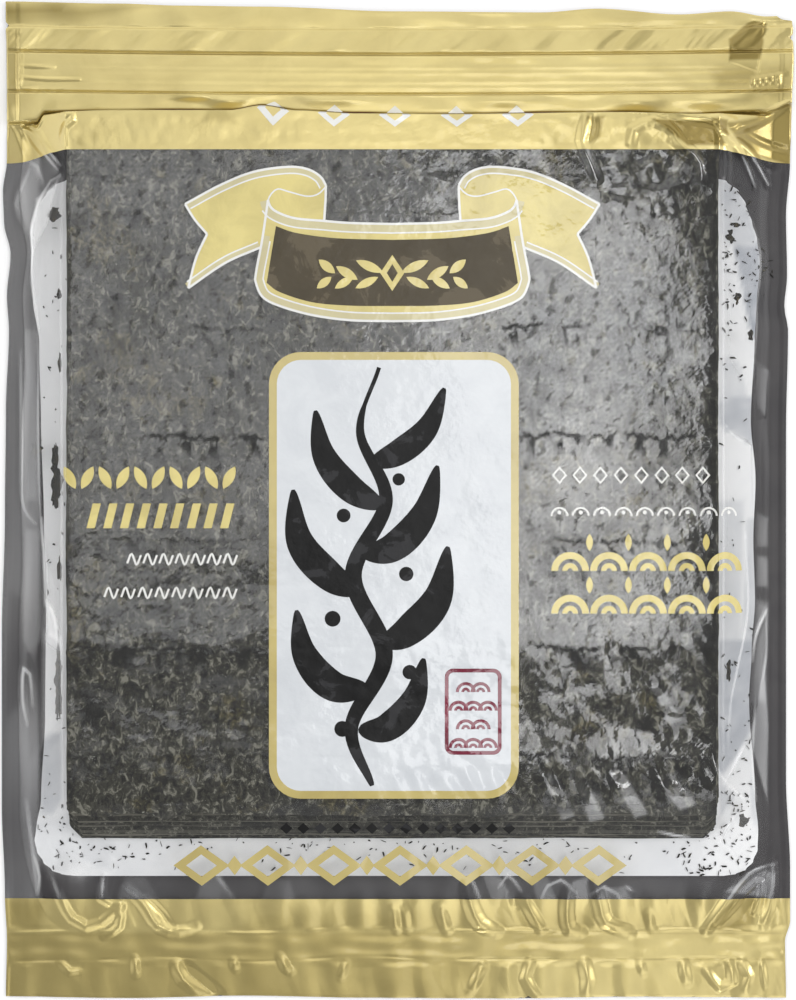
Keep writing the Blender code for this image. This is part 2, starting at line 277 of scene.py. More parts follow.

# Painted highlights, as extra mirror share where the clear film catches light: lines as
# (half width, share, path), and flat faces as (share, how soft their edge is, corners);
# a face with a share below zero is painted darker.
GLINTS = (
    (0.45, 0.5, (*LEFT_SWEEP, (-105.9, 49.6))),
    (0.35, 0.3, ((-106.8, 49.0), (-106.2, 40.7), (-105.9, 20.6), (-105.3, 0.0), (-104.4, -13.3))),
    (0.5, 0.5, ((-104.7, -5.3), (-103.8, -17.7), (-103.2, -30.7))),
    (0.5, 0.3, LEFT_LONG),
    (0.45, 0.35, LEFT_LOOP),
    (0.6, 0.08, ((-109.1, 98.8), (-110.9, 92.9), (-113.3, 87.0), (-111.5, 82.0), (-109.1, 77.3))),
    (0.5, 0.2, ((-109.7, 99.7), (-106.2, 97.9), (-103.8, 92.0))),
    (0.3, 0.28, ((-97.9, 93.8), (-98.2, 59.0), (-97.9, 23.6), (-97.9, -17.7), (-97.9, -59.0),
                (-97.6, -90.3))),
    (0.45, 0.4, ((-107.1, -105.0), (-105.6, -110.9), (-106.2, -116.2))),
    (0.6, 0.2, ((-109.4, -88.5), (-107.7, -103.2), (-106.8, -115.0))),
    (0.35, 0.4, CORNER_LEFT),
    (0.3, 0.35, ((-104.4, 104.4), (-98.2, 97.3))),
    (0.5, 0.35, ((-102.9, -29.5), (-100.3, -34.2), (-98.8, -41.3))),
    (0.4, 0.35, ((101.8, -9.4), (102.7, -31.9), (99.1, -50.1), (97.1, -59.0), (96.2, -71.4))),
    (0.35, 0.25, ((95.3, 21.8), (99.1, 18.3), (103.8, 16.5))),
    (0.35, 0.14, ((104.7, 81.7), (107.4, 72.9), (107.4, 67.8), (106.5, 59.0), (105.6, 47.2),
                (104.7, 35.4))),
    (0.3, 0.3, ((94.7, 93.8), (94.7, 50.1), (94.8, 5.9), (94.7, -41.3), (94.7, -81.4))),
    (0.45, 0.3, RIGHT_HOOK),
    (0.45, 0.2, ((110.0, -32.7), (110.0, -45.7), (106.8, -59.0))),
    (0.35, 0.5, ((76.1, -96.8), (80.8, -97.9), (85.3, -98.5))),
    (0.4, 0.45, ((94.1, -99.7), (95.6, -96.2), (98.2, -92.6))),
    (0.35, 0.35, STAR_UP),
    (0.35, 0.35, STAR_DOWN),
    (0.35, 0.3, STAR_IN),
    (0.5, 0.25, ((105.6, -59.0), (104.4, -76.7), (105.9, -88.5))),
    (0.45, 0.45, FOOT_RIGHT),
    (0.45, 0.4, ((111.2, -107.4), (111.2, -113.6), (110.6, -118.0))),
    (0.5, 0.4, FOOT_LEFT),
    (0.5, 0.4, FOOT_LEFT_SHORT),
    (0.45, 0.3, ((20.6, -109.7), (22.4, -113.3), (24.2, -118.0))),
    (0.4, 0.3, ((29.5, -113.9), (32.2, -110.0), (36.3, -115.0))),
    (0.4, 0.35, ((41.9, -118.0), (44.0, -113.3), (47.8, -111.5), (52.5, -115.6))),
    (0.4, 0.35, ((56.6, -115.9), (60.5, -113.6), (64.6, -115.9), (66.1, -119.2))),
    (0.4, 0.3, ((66.7, -113.3), (69.0, -115.0))),
    (0.5, 0.25, ((-80.8, -113.3), (-76.7, -117.1))),
    (0.6, 0.2, ((-54.9, -106.2), (-51.9, -112.1), (-49.0, -116.2))),
    (0.4, 0.3, ((54.6, 103.2), (56.0, 97.9), (57.8, 93.2))),
    (0.4, 0.3, CORNER_INNER),
    (0.35, 0.35, CORNER_LONG),
    (0.35, 0.3, CORNER_SHORT),
)
# Painted brighter and darker faces of the clear film.
LIT_FACES = (
    (0.17, 0.5, ((41.9, -79.6), (46.0, -79.6), (51.3, -92.0), (47.8, -93.2))),
    (0.18, 0.5, ((50.7, -80.8), (53.7, -80.2), (60.2, -92.6), (56.0, -93.8))),
    (0.17, 0.5, ((61.4, -79.1), (65.5, -79.1), (72.6, -91.4), (69.0, -92.6))),
    (0.17, 0.5, ((74.9, -80.2), (80.8, -79.1), (86.7, -88.5), (82.0, -90.3))),
    (0.05, 0.6, ((71.4, -49.6), (75.5, -50.7), (82.0, -63.7), (78.5, -65.5))),
    (0.05, 0.8, ((59.0, -65.5), (89.1, -69.6), (89.1, -75.5), (59.6, -74.3))),
    (0.05, 0.7, ((105.9, 40.7), (111.2, 37.8), (110.3, 24.5), (106.2, 28.0))),
    (0.06, 0.9, ((106.2, -4.1), (110.9, -5.3), (110.9, -13.6), (106.2, -13.6))),
    (0.07, 0.9, ((106.2, -16.5), (110.9, -17.1), (110.9, -25.4), (106.2, -25.4))),
    (0.09, 1.6, ((105.9, -29.5), (110.9, -30.7), (109.1, -59.0), (104.4, -59.0))),
    (0.15, 0.6, ((109.4, -51.9), (103.8, -68.1), (105.6, -75.8), (110.3, -88.2), (110.9, -67.3))),
    (0.09, 0.8, ((-109.1, 98.8), (-106.2, 97.3), (-104.1, 91.4), (-108.6, 78.2), (-113.3, 87.0))),
    (0.07, 0.7, ((-109.7, 100.3), (-99.7, 100.3), (-99.1, 95.6), (-104.4, 91.4), (-107.4, 96.8))),
    (0.08, 1.2, ((-111.5, 50.1), (-107.4, 50.1), (-106.2, 23.6), (-106.2, 0.0), (-110.3, 0.0),
                (-111.5, 23.6))),
    (0.07, 0.8, ((-110.3, -8.8), (-105.0, -8.8), (-104.4, -35.4), (-106.8, -47.2), (-110.3, -41.3))),
    (-0.06, 1.0, ((-115.0, -26.5), (-110.9, -29.5), (-110.3, -59.0), (-115.6, -64.9))),
    (-0.05, 1.0, ((-109.7, -45.7), (-104.4, -41.3), (-104.4, -70.8), (-108.6, -76.7))),
    (0.3, 0.7, ((-103.2, -29.5), (-100.9, -31.9), (-98.5, -41.9), (-102.1, -39.5))),
    (0.3, 0.8, ((-106.2, 88.5), (-99.1, 93.2), (-102.7, 80.8), (-108.3, 73.7))),
    (0.12, 1.0, ((-102.7, -99.7), (-89.1, -108.0), (-92.6, -110.9), (-100.9, -108.6))),
    (0.22, 0.6, ((96.5, -115.0), (102.7, -110.9), (110.6, -108.6), (110.3, -117.4))),
    (0.08, 1.2, ((89.1, -100.9), (100.3, -88.5), (104.4, -90.9), (100.3, -106.2))),
    (0.16, 1.8, ((-103.8, -38.3), (-97.9, -40.1), (-98.8, -65.5), (-104.7, -71.4))),
    (0.18, 1.6, ((-103.5, -16.5), (-99.7, -26.5), (-97.9, -44.2), (-103.5, -41.3))),
    (0.1, 2.0, ((-106.5, -103.2), (-96.8, -102.1), (-83.2, -106.8), (-93.2, -112.1), (-102.1, -110.3))),
    (0.12, 0.5, ((25.1, -110.3), (29.8, -110.6), (34.2, -117.7), (27.7, -117.7))),
    (0.12, 0.5, ((39.5, -110.6), (44.0, -110.9), (46.6, -117.7), (40.7, -117.7))),
    (0.13, 0.5, ((49.6, -117.7), (51.3, -112.1), (55.5, -110.6), (56.9, -117.7))),
    (0.12, 0.5, ((58.1, -117.7), (60.2, -114.2), (66.1, -113.6), (69.3, -117.7))),
    (0.07, 0.8, ((-82.6, -117.7), (-80.2, -110.6), (-74.3, -110.6), (-70.2, -117.7))),
    (0.08, 0.8, ((-59.6, -117.7), (-57.2, -110.6), (-51.9, -110.6), (-47.8, -117.7))),
    (0.06, 0.8, ((-40.1, -117.7), (-37.8, -111.5), (-31.9, -111.5), (-30.1, -117.7))),
    (0.04, 2.0, ((-99.7, -110.9), (100.9, -110.9), (100.9, -117.7), (-99.7, -117.7))),
    (-0.02, 3.0, ((-97.0, -74.0), (-40.0, -74.0), (-40.0, -92.0), (-97.0, -92.0))),
    (-0.015, 3.0, ((36.0, -44.0), (93.0, -44.0), (93.0, -72.0), (36.0, -72.0))),
    (-0.06, 2.2, ((79.6, 103.2), (90.9, 103.2), (90.9, 60.2), (87.9, 66.1), (84.4, 73.7), (81.4, 84.1))),
    (-0.045, 1.6, ((41.9, 103.2), (49.6, 103.2), (55.2, 89.7), (47.8, 87.3))),
    (-0.05, 1.6, ((61.9, 103.2), (67.8, 103.2), (74.3, 89.7), (68.4, 86.7))),
)

# The white panel under the free film: how dark, how soft the edge is, corners.
PANEL_SHADES = (
    (0.6, 1.0, ((-105.6, -70.2), (-99.1, -68.4), (-99.1, -88.5), (-101.5, -92.9), (-105.6, -92.0))),
    (0.25, 2.0, ((-107.4, -92.9), (-96.2, -92.9), (-92.6, -106.8), (-101.5, -110.9), (-106.8, -103.8))),
    (0.35, 1.5, ((-96.8, -98.5), (-84.4, -98.5), (-84.4, -109.7), (-92.6, -106.8))),
    (0.22, 2.5, ((-84.4, -97.9), (90.6, -97.9), (90.6, -112.1), (-84.4, -112.1))),
    (0.6, 1.2, ((94.7, 95.6), (99.1, 94.7), (104.7, 83.2), (107.1, 75.5), (100.0, 74.6), (95.3, 78.2))),
    (1.0, 0.7, ((99.1, 74.6), (107.4, 76.1), (108.0, 69.3), (106.8, 47.8), (104.7, 46.9),
                (103.8, 51.3), (101.8, 59.0), (99.7, 68.4))),
    (0.4, 1.0, ((95.6, 42.5), (100.3, 40.7), (103.8, 28.9), (95.3, 28.9))),
    (0.8, 0.5, ((94.7, 29.5), (105.0, 30.7), (105.0, 15.9), (100.9, 18.3), (95.0, 21.5))),
    (0.4, 1.2, ((94.7, 0.0), (102.1, 0.0), (100.9, -41.3), (94.7, -41.3))),
    (0.5, 0.6, ((103.2, -5.9), (106.8, -4.7), (106.8, -41.3), (102.1, -41.3))),
    (0.85, 0.5, ((94.4, -41.3), (105.6, -40.7), (105.0, -67.3), (95.9, -81.4), (94.4, -81.4))),
    (0.5, 0.5, ((95.0, -82.6), (99.1, -88.2), (95.0, -93.8))),
    (0.4, 0.6, ((104.4, -81.4), (106.8, -87.9), (107.4, -97.9), (104.1, -93.2))),
)

# Gold folds that lie in shade: how dark, how soft their edge is, corners.
DARK_FOLDS = (
    (0.8, 0.5, ((97.4, 136.0), (105.0, 142.6), (109.0, 140.6), (106.5, 129.8), (97.4, 129.8))),
    (0.5, 2.2, ((92.0, 127.0), (105.6, 128.0), (105.6, 121.4), (94.0, 121.6))),
    (0.4, 3.0, ((104.0, 127.0), (115.5, 128.0), (115.5, 117.5), (103.0, 118.5))),
    (0.9, 0.5, ((73.8, 110.8), (91.4, 110.6), (95.6, 103.0), (84.1, 103.0))),
    (0.75, 0.7, ((95.4, 110.0), (116.8, 114.4), (116.8, 98.0), (100.0, 104.0))),
    (0.8, 0.5, ((91.0, 111.4), (96.0, 110.8), (96.0, 106.0), (92.0, 108.0))),
    (0.6, 0.5, ((54.8, 111.6), (60.0, 111.6), (58.8, 105.6), (55.6, 103.6))),
    (0.5, 2.4, ((-118.0, 140.6), (-92.0, 142.0), (-80.0, 145.4), (-118.0, 146.6))),
    (0.65, 2.2, ((-118.0, 142.0), (-98.0, 143.0), (-98.0, 146.0), (-118.0, 146.0))),
    (0.3, 1.6, ((-116.8, 112.0), (-108.0, 113.0), (-105.0, 98.0), (-116.8, 98.0))),
    (0.35, 0.9, ((-118.0, 116.0), (-112.8, 117.0), (-112.6, 138.0), (-118.0, 139.0))),
    (0.3, 1.0, ((-55.0, 113.0), (-50.0, 113.0), (-47.0, 109.4), (-57.0, 109.8))),
    (0.35, 2.0, ((-116.8, -118.0), (-104.0, -118.0), (-106.0, -127.0), (-116.8, -127.0))),
    (0.5, 1.2, ((90.0, -127.0), (103.0, -112.6), (108.0, -114.0), (104.0, -127.0))),
    (0.22, 3.0, ((-42.0, -121.0), (84.0, -121.0), (88.0, -128.0), (-46.0, -128.0))),
    (0.2, 1.5, ((-50.0, -127.4), (60.0, -127.4), (60.0, -135.4), (-50.0, -135.4))),
)

# The foot's left half is a little dim, and no gold is painted darker than this.
FOOT_DIM = 0.36
DARKEST = 1.35

# Thin lines of shade across the gold: where, how dark, half width, half length.
SHADE_LINES = ((CREASE + 0.75, 1.35, 0.35, 113.0), (ZIP_HIGH + 0.35, 0.45, 0.22, 116.0),
               (ZIP_LOW - 0.3, 0.25, 0.25, 112.0), (FOOT_LINES[0] - 0.3, 0.35, 0.25, 118.0),
               (FOOT_LINES[1], 0.45, 0.22, 118.0))

# Long creases that the free film has at the sides.
SIDE_FOLDS = (
    (0.8, 0.10, (*LEFT_SWEEP, (-106.2, 49.6))),
    (0.8, 0.06, ((-106.2, 49.6), (-105.6, 40.7), (-105.3, 23.6), (-105.0, 0.0), (-104.4, -11.8),
                (-103.8, -20.6))),
    (1.2, 0.06, LEFT_LONG),
    (0.9, 0.4, LEFT_LOOP),
    (1.0, 0.08, ((-109.1, 98.8), (-113.3, 87.0), (-109.1, 77.3))),
    (0.8, 0.08, ((-109.1, 98.8), (-106.2, 96.8), (-104.1, 91.4))),
    (0.8, 0.3, ((-103.5, -28.3), (-100.9, -33.0), (-98.8, -41.3))),
    (0.8, 0.4, ((-107.4, -105.0), (-105.6, -110.9), (-106.2, -116.2))),
    (0.9, 0.25, RIGHT_HOOK),
    (0.9, 0.5, STAR_UP),
    (0.9, 0.5, STAR_DOWN),
    (0.8, 0.35, STAR_IN),
    (0.8, 0.4, ((94.7, -99.1), (99.1, -103.2), (102.1, -108.0))),
)

# Rows of pressed marks across the sheets: where, and the stretches as (from, to, how strong).
MARKS = (
    (83.6, ((-99.1, -73.2, 0.3), (59.6, 86.1, 0.4))),
    (50.0, ((-99.1, -68.7, 0.35), (-61.4, -40.1, 0.5), (30.1, 43.4, 1.0), (47.8, 55.5, 0.8),
            (66.1, 78.5, 0.9))),
    (18.3, ((-96.8, -76.1, 0.3), (-72.6, -38.9, 1.0), (36.0, 86.7, 1.0))),
    (-11.6, ((-96.8, -42.2, 0.4), (41.9, 89.1, 0.8))),
    (-43.0, ((-95.3, -38.3, 0.9), (36.0, 90.3, 1.0))),
    (-74.6, ((-95.3, -38.3, 0.5), (30.1, 90.3, 1.0))),
)
MARK_LINES = tuple(line for line, stretches in MARKS)
# Slow rises of the film between the rows, as (place, height).
CROWNS = ((-92.0, 0.08), (-74.6, 0.13), (-60.0, -0.07), (-44.0, 0.12), (-28.0, -0.02),
          (-11.6, 0.03), (18.3, 0.0), (50.0, 0.02), (66.0, -0.02), (83.6, 0.04), (100.0, 0.0))

# The stack: how many sheets, where it starts and ends in height, how far its foot
# fans out, how thick the top sheet is made, and the edges and gaps of the sheets.
SHEETS = 50
SHEET_WIDE = 190.0
SHEET_LONG = 200.0
STACK_BASE = 0.35
SHEET_TOP = 13.25
LOW_FOOT = -99.7
TOP_SHEET_FOOT = -91.6
TOP_SHEET_HEAD = 111.0
TOP_SHEET_THICK = 0.22
SHEETS_HEAD = 109.4
SHEET_CORNER = 1.4
SHEET_PITCH = 2.2
SHEET_WOBBLE = 0.2
SHEET_GAP = 0.03
UNDER_FILM = 0.45
TOP_UNDER_FILM = 0.3

# How pale the cut edge of a sheet may be, one chosen at random for each.
EDGE_TONES = (0.0, 0.0, 0.1, 0.35, 1.0)

# White panel of the back film: half outlines as (v, u).
PANEL_LEFT = ((-110.9, -95.0), (-110.5, -99.2), (-109.2, -102.2), (-106.8, -104.8),
              (-103.6, -106.7), (-100.4, -107.4), (-97.3, -106.8),
              (-88.2, -105.3), (-63.7, -104.1), (-25.7, -103.8), (-6.0, -104.6),
              (24.0, -105.6), (45.7, -106.4), (59.0, -108.4), (70.8, -109.7), (79.0, -109.0),
              (84.0, -107.3), (87.6, -105.7), (90.6, -103.7), (92.9, -101.2), (94.4, -98.0), (95.4, -92.0))
PANEL_RIGHT = ((-110.9, 96.0), (-110.4, 99.6), (-109.0, 102.7), (-106.6, 105.0),
               (-103.0, 106.5), (-97.1, 106.8),
               (-87.3, 105.9), (-59.0, 103.8), (-44.2, 104.7), (-29.5, 105.9), (-11.8, 105.3),
               (5.9, 106.1), (23.6, 104.4), (47.2, 105.6), (59.0, 106.7), (70.6, 107.6),
               (77.0, 106.6), (81.7, 104.9), (87.0, 102.8), (90.9, 100.6), (94.1, 97.0), (95.6, 90.0))


def run(stations, at):
    """Smooth value along a short run of stations."""
    places = np.array([s[0] for s in stations])
    values = np.array([s[1] for s in stations])
    slot = np.clip(np.searchsorted(places, at) - 1, 0, len(places) - 2)
    part = np.clip((at - places[slot]) / (places[slot + 1] - places[slot]), 0.0, 1.0)
    part = part * part * (3.0 - 2.0 * part)
    return values[slot] + part * (values[slot + 1] - values[slot])


def step(edge_a, edge_b, at):
    """0 before edge_a, 1 after edge_b, smooth between."""
    part = np.clip((at - edge_a) / (edge_b - edge_a), 0.0, 1.0)
    return part * part * (3.0 - 2.0 * part)


def between(up_from, up_to, down_from, down_to, at):
    """0, then up to 1, then back down to 0."""
    return step(up_from, up_to, at) * (1.0 - step(down_from, down_to, at))


def waves(u, v, length, seed, spread=0.3):
    """A random even wave field of about unit height, from its own seed."""
    rng = np.random.default_rng(seed)
    total = np.zeros_like(u)
    for _ in range(WAVES_ADDED):
        turn = rng.uniform(0.0, 2.0 * math.pi)
        pace = 2.0 * math.pi / length * rng.uniform(1.0 - spread, 1.0 + spread)
        phase = rng.uniform(0.0, 2.0 * math.pi)
        total += np.cos(pace * (u * math.cos(turn) + v * math.sin(turn)) + phase)
    return total * math.sqrt(2.0 / WAVES_ADDED)


def beside_stack(u):
    """0 over the stack, up to 1 where the film has come down at a side."""
    return np.maximum(np.maximum((STACK_LEFT - u) / FALL_LEFT, (u - STACK_RIGHT) / FALL_RIGHT), 0.0)


def tent(u, v):
    """The film as it comes down from the stack to the seals."""
    side = beside_stack(u)
    foot = STACK_FOOT + 0.3 - v
    foot = 0.5 * (foot + np.sqrt(foot * foot + FOOT_EASE * FOOT_EASE)) / FALL_FOOT
    foot = foot * step(STACK_FOOT + 8.0, STACK_FOOT + 1.0, v)
    head = np.maximum((v - FILM_HEAD) / FILM_HEAD_FALL, 0.0)
    away = np.clip(np.hypot(np.hypot(side, foot), head), 0.0, 1.0)
    share = foot / np.maximum(side + foot, 1e-6)
    sag = SIDE_SAG + (FOOT_SAG - SIDE_SAG) * share
    return (STACK_TOP - SEAL_TOP) * (1.0 - away) ** sag


def header(u, v):
    """The zip header above the crease: a low strip, the zip band with its ribs, and a wrinkled strip."""
    inside = step(CREASE - 0.2, CREASE + 0.1, v)
    low = LOW_STRIP_TOP * between(CREASE - 0.1, CREASE + 0.5, ZIP_LOW - 0.8, ZIP_LOW, v) + 0.5 * inside
    band = between(ZIP_LOW - 0.6, ZIP_LOW + 0.3, ZIP_HIGH, ZIP_HIGH + 0.8, v) * (ZIP_TOP - SEAL_TOP)
    for rib in RIBS:
        band = band + RIB_TALL * np.exp(-((v - rib) / RIB_WIDE) ** 2)
    end = step(ZIP_END - 0.8, ZIP_END + 0.8, np.abs(u)) * np.where(u < 0.0, 1.0, RIGHT_END_SHARE)
    band = band * (1.0 - 0.3 * end)
    reach = np.clip((v - ZIP_HIGH) / (SEAL_LINE - ZIP_HIGH), 0.0, 1.0)
    along = u - WRINKLE_SLANT * (v - ZIP_HIGH)
    wave = np.sin(along * 0.55 + 1.2 * np.sin(along * 0.043)) + 0.6 * np.sin(along * 0.31 + 2.0)
    above = between(ZIP_HIGH + 0.2, ZIP_HIGH + 1.4, SEAL_LINE - 1.0, SEAL_LINE, v)
    above = above * (WRINKLED_TOP - SEAL_TOP) * (1.0 - 0.5 * reach)
    above = above + 0.07 * wave * np.sin(np.pi * reach) * step(ZIP_HIGH, ZIP_HIGH + 1.0, v)
    return (low + above) * (1.0 - 0.2 * end) + band


def close_by(u, v, spots, reach):
    """Which points lie near a group of spots."""
    x, y = np.array(spots).T
    across = (u > x.min() - reach) & (u < x.max() + reach)
    return across & (v > y.min() - reach) & (v < y.max() + reach)


def middle_of(corners):
    """The mean of the corners."""
    return sum(c[0] for c in corners) / len(corners), sum(c[1] for c in corners) / len(corners)


def ridge(u, v, wide, tall, path):
    """A rounded fold along a path, fading at both ends."""
    out = np.zeros_like(u)
    reach = FOLD_REACH * wide
    near = close_by(u, v, path, reach)
    u, v = u[near], v[near]
    if len(path) > 2:
        path = smooth_path(path, FOLD_PITCH)
    total = sum(math.dist(a, b) for a, b in zip(path, path[1:]))
    best, along, start = np.full_like(u, FAR), np.zeros_like(u), 0.0
    for (x0, y0), (x1, y1) in zip(path, path[1:]):
        dx, dy = x1 - x0, y1 - y0
        long = math.hypot(dx, dy)
        part = np.clip(((u - x0) * dx + (v - y0) * dy) / long ** 2, 0.0, 1.0)
        away = np.hypot(u - x0 - part * dx, v - y0 - part * dy)
        closer = away < best
        best = np.where(closer, away, best)
        along = np.where(closer, (start + part * long) / total, along)
        start += long
    fade = 0.3 + 0.7 * np.sin(np.pi * along)
    out[near] = tall * fade * np.maximum(1.0 - (best / reach) ** 2, 0.0) ** 2
    return out


def facets(u, v, wide, tall, seed):
    """Random flat facets with sharp creases, wide by tall, about unit height."""
    rng = np.random.default_rng(seed)
    table = rng.normal(size=(FACET_TABLE, FACET_TABLE))
    turned = rng.uniform(size=(FACET_TABLE, FACET_TABLE)) > 0.5
    x = u / wide + 0.5 * np.sin(v / tall * 2.1 + seed) + FACET_TABLE / 2
    y = v / tall + 0.4 * np.sin(u / wide * 1.3 + seed) + FACET_TABLE / 2
    i, j = (np.floor(at).astype(int) % (FACET_TABLE - 1) for at in (x, y))
    s, t = x - np.floor(x), y - np.floor(y)
    a, b, c, d = table[i, j], table[i + 1, j], table[i + 1, j + 1], table[i, j + 1]
    up = np.where(s > t, a + s * (b - a) + t * (c - b), a + t * (d - a) + s * (c - d))
    down = np.where(s + t < 1.0, a + s * (b - a) + t * (d - a),
                    c + (1.0 - s) * (d - c) + (1.0 - t) * (b - c))
    return np.where(turned[i, j], up, down)


def depth_inside(u, v, corners):
    """Distance inside a convex outline, less than zero outside."""
    cx, cy = middle_of(corners)
    depth = np.full_like(u, FAR)
    for (x0, y0), (x1, y1) in zip(corners, corners[1:] + corners[:1]):
        nx, ny = y1 - y0, x0 - x1
        size = math.hypot(nx, ny)
        side = ((cx - x0) * nx + (cy - y0) * ny) / size
        away = ((u - x0) * nx + (v - y0) * ny) / size
        depth = np.minimum(depth, away * (1.0 if side > 0.0 else -1.0))
    return depth


def inside_share(u, v, corners, soft):
    """1 inside a convex outline and 0 outside it, with an edge that is soft to both sides."""
    return step(-soft, soft, depth_inside(u, v, corners))


def strongest(u, v, faces):
    """The strongest share of the faces at each point, each face as (how strong, how soft, corners)."""
    total = np.zeros_like(u)
    for strong, soft, corners in faces:
        total = np.maximum(total, strong * inside_share(u, v, corners, soft))
    return total


def patch(u, v, corners, across, along):
    """One facet: a tilt inside a convex outline, with a narrow edge."""
    cx, cy = middle_of(corners)
    out = np.zeros_like(u)
    near = close_by(u, v, corners, 1.0)
    u, v = u[near], v[near]
    share = step(-0.4, 0.5, depth_inside(u, v, corners))
    out[near] = (across * (u - cx) + along * (v - cy)) * share
    return out


def mark_bend(u, line, uneven):
    """Where a row of pressed marks runs, a little bent."""
    return line + 0.5 * np.sin(u * 0.05 + line) + uneven * waves(u, u * 0.0, 5.0, int(500 + line))


def cling(u, v):
    """Low relief of the film where it lies on the sheets."""
    low = step(-36.0, -46.0, v)
    right = step(-20.0, 20.0, u)
    corner = step(50.0, 72.0, u) * step(76.0, 90.0, v)
    rough = 0.38 + 1.1 * low * (0.4 + 0.6 * right) + 1.2 * corner
    rough = rough + 0.4 * step(87.0, 93.0, u) + 0.3 * step(84.0, 92.0, -u) + 0.9 * step(102.5, 104.0, v)
    slow = 0.018 * waves(u, v, 9.0, 11) + 0.010 * waves(u, v, 4.6, 12) + 0.036 * waves(u, v, 24.0, 13)
    fine = 0.0045 * waves(u, v, 2.4, 15) + 0.0032 * waves(u, v, 1.3, 16)
    crumple = 0.030 * facets(u + 0.6 * v, v, 7.0, 9.0, 17) + 0.004 * facets(u + 0.4 * v, v, 2.6, 3.4, 18)
    streaks = waves(u + 0.6 * v, 0.3 * (u - v), 6.5, 14) * step(-75.0, -79.0, v)
    relief = slow * rough + fine * (0.5 + 0.4 * low * right)
    relief = relief + crumple * (low * (0.3 + 0.7 * right) + 1.1 * corner)
    relief = relief + 0.10 * streaks * (0.1 + 0.9 * right)
    for line in MARK_LINES:
        dash = np.clip(0.4 + 0.9 * waves(u, v * 0.1, 11.0, int(200 + line)), 0.0, 1.0)
        bend = mark_bend(u, line, 0.25)
        relief = relief - 0.030 * dash * np.exp(-((v - bend) / 0.6) ** 2)
    return relief + run(CROWNS, v + 0.7 * np.sin(u * 0.11) + 0.5 * np.sin(u * 0.31 + 1.0))


def slack(u, v):
    """The free film: slow bulges, and flat facets that run towards the stack."""
    side = beside_stack(u)
    foot = np.maximum((STACK_FOOT - v) / FALL_FOOT, 0.0)
    share = foot / np.maximum(side + foot, 1e-6)
    bulge = 0.3 * waves(u * 0.3, v, 38.0, 63) * np.clip(4.0 * side * (1.0 - side), 0.0, 1.0)
    beside = bulge + 0.06 * facets(u, v, 9.0, 19.0, 21) * (1.0 - step(0.55, 1.0, side))
    below = 0.14 * facets(u, v, 9.0, 15.0, 22) + 0.10 * waves(u, v * 0.4, 14.0, 24)
    return beside * (1.0 - share) + below * share


def pleats(u, v):
    """Upright pleats of the gold foot, above and below its two pressed lines."""
    upper, lower = FOOT_LINES
    above = between(upper + 0.2, upper + 2.4, -119.0, -110.0, v)
    under = 1.0 - step(lower - 2.6, lower - 0.4, v)
    lively = 0.45 + 0.55 * step(-30.0, 40.0, u)
    lift = above * (0.16 * waves(u, v * 0.25, 9.0, 25) + 0.05 * facets(u, v, 2.6, 8.0, 26))
    lift = lift + under * (0.13 * waves(u, v * 0.25, 10.0, 27) + 0.04 * facets(u, v, 2.8, 9.0, 28))
    middle = (1.0 - above) * (1.0 - under) * (1.0 - step(-127.0, -124.0, v))
    return lift * lively + middle * 0.03 * waves(u * 0.5, v, 5.0, 29)


def flutter(u, v):
    """Small waves of the header: the seal, the wrinkled band, the zip, the strip by the crease."""
    inside = step(CREASE, CREASE + 2.0, v)
    seal = step(SEAL_LINE - 0.4, SEAL_LINE + 0.6, v)
    all_over = 0.05 * waves(u * 0.5, v, 9.0, 33) + 0.03 * facets(u, v, 13.0, 9.0, 34)
    slant = u - 0.9 * v
    ridges = 0.17 * waves(slant, v * 0.35, 12.0, 35, spread=0.6) + 0.05 * facets(slant, v, 4.0, 6.0, 36)
    ridges = ridges + 0.010 * waves(slant, v * 0.5, 2.6, 41)
    uneven = 0.45 + 0.55 * step(-0.4, 0.9, waves(u, v * 0.0, 60.0, 39))
    band = step(ZIP_HIGH + 0.4, ZIP_HIGH + 2.4, v) * (1.0 - seal) * uneven
    strip = between(CREASE + 0.6, CREASE + 1.8, ZIP_LOW - 1.6, ZIP_LOW - 0.4, v)
    strip_lift = 0.035 * waves(u * 0.6, v, 7.0, 38) + 0.03 * facets(u, v, 8.0, 5.0, 40)
    zip_part = between(ZIP_LOW, ZIP_LOW + 0.6, ZIP_HIGH - 0.4, ZIP_HIGH, v)
    return inside * (all_over * (0.4 + 0.6 * seal) + band * ridges + strip * strip_lift
                     + zip_part * 0.009 * waves(u * 0.3, v, 3.4, 37))


def stack_share(u, v):
    """1 where the film lies on the sheets, 0 off them."""
    side = np.minimum(u - STACK_LEFT, STACK_RIGHT - u)
    share = step(-0.5, 2.0, np.minimum(side, FILM_HEAD - 0.5 - v))
    return share * step(-5.0, 4.0, v - STACK_FOOT)


def free_share(u, v):
    """1 where the film hangs free, 0 where it lies on the sheets."""
    return 1.0 - stack_share(u, v)


def turbulence(u, v, length, seed, octaves=4):
    """Wave fields of halving length, about unit height."""
    total = sum(0.62 ** k * waves(u, v, length / 2 ** k, seed + k) for k in range(octaves))
    return total / 1.25


def mark_rows(u, v):
    """The rows of pressed marks across a sheet and the dark drips under them, 0 to 1."""
    total = np.zeros_like(u)
    for line, stretches in MARKS:
        strong = sum(s * between(a - 1.0, a + 1.0, b - 1.0, b + 1.0, u) for a, b, s in stretches)
        dash = strong * (0.35 + 0.65 * step(-0.8, -0.4, waves(u, v * 0.2, 9.0, int(300 + line))))
        bend = mark_bend(u, line, 0.45) + 0.25 * waves(u, v * 0.0, 2.2, int(550 + line))
        total = total + dash * np.exp(-((v - bend) / 0.62) ** 4)
        below = step(0.45, 0.6, turbulence(u + 0.2 * v, v * 0.35, 7.0, int(600 + line), 3)) * dash
        total = total + below * between(bend - 7.0, bend - 3.0, bend, bend + 0.4, v)
    return np.clip(total, 0.0, 1.0)


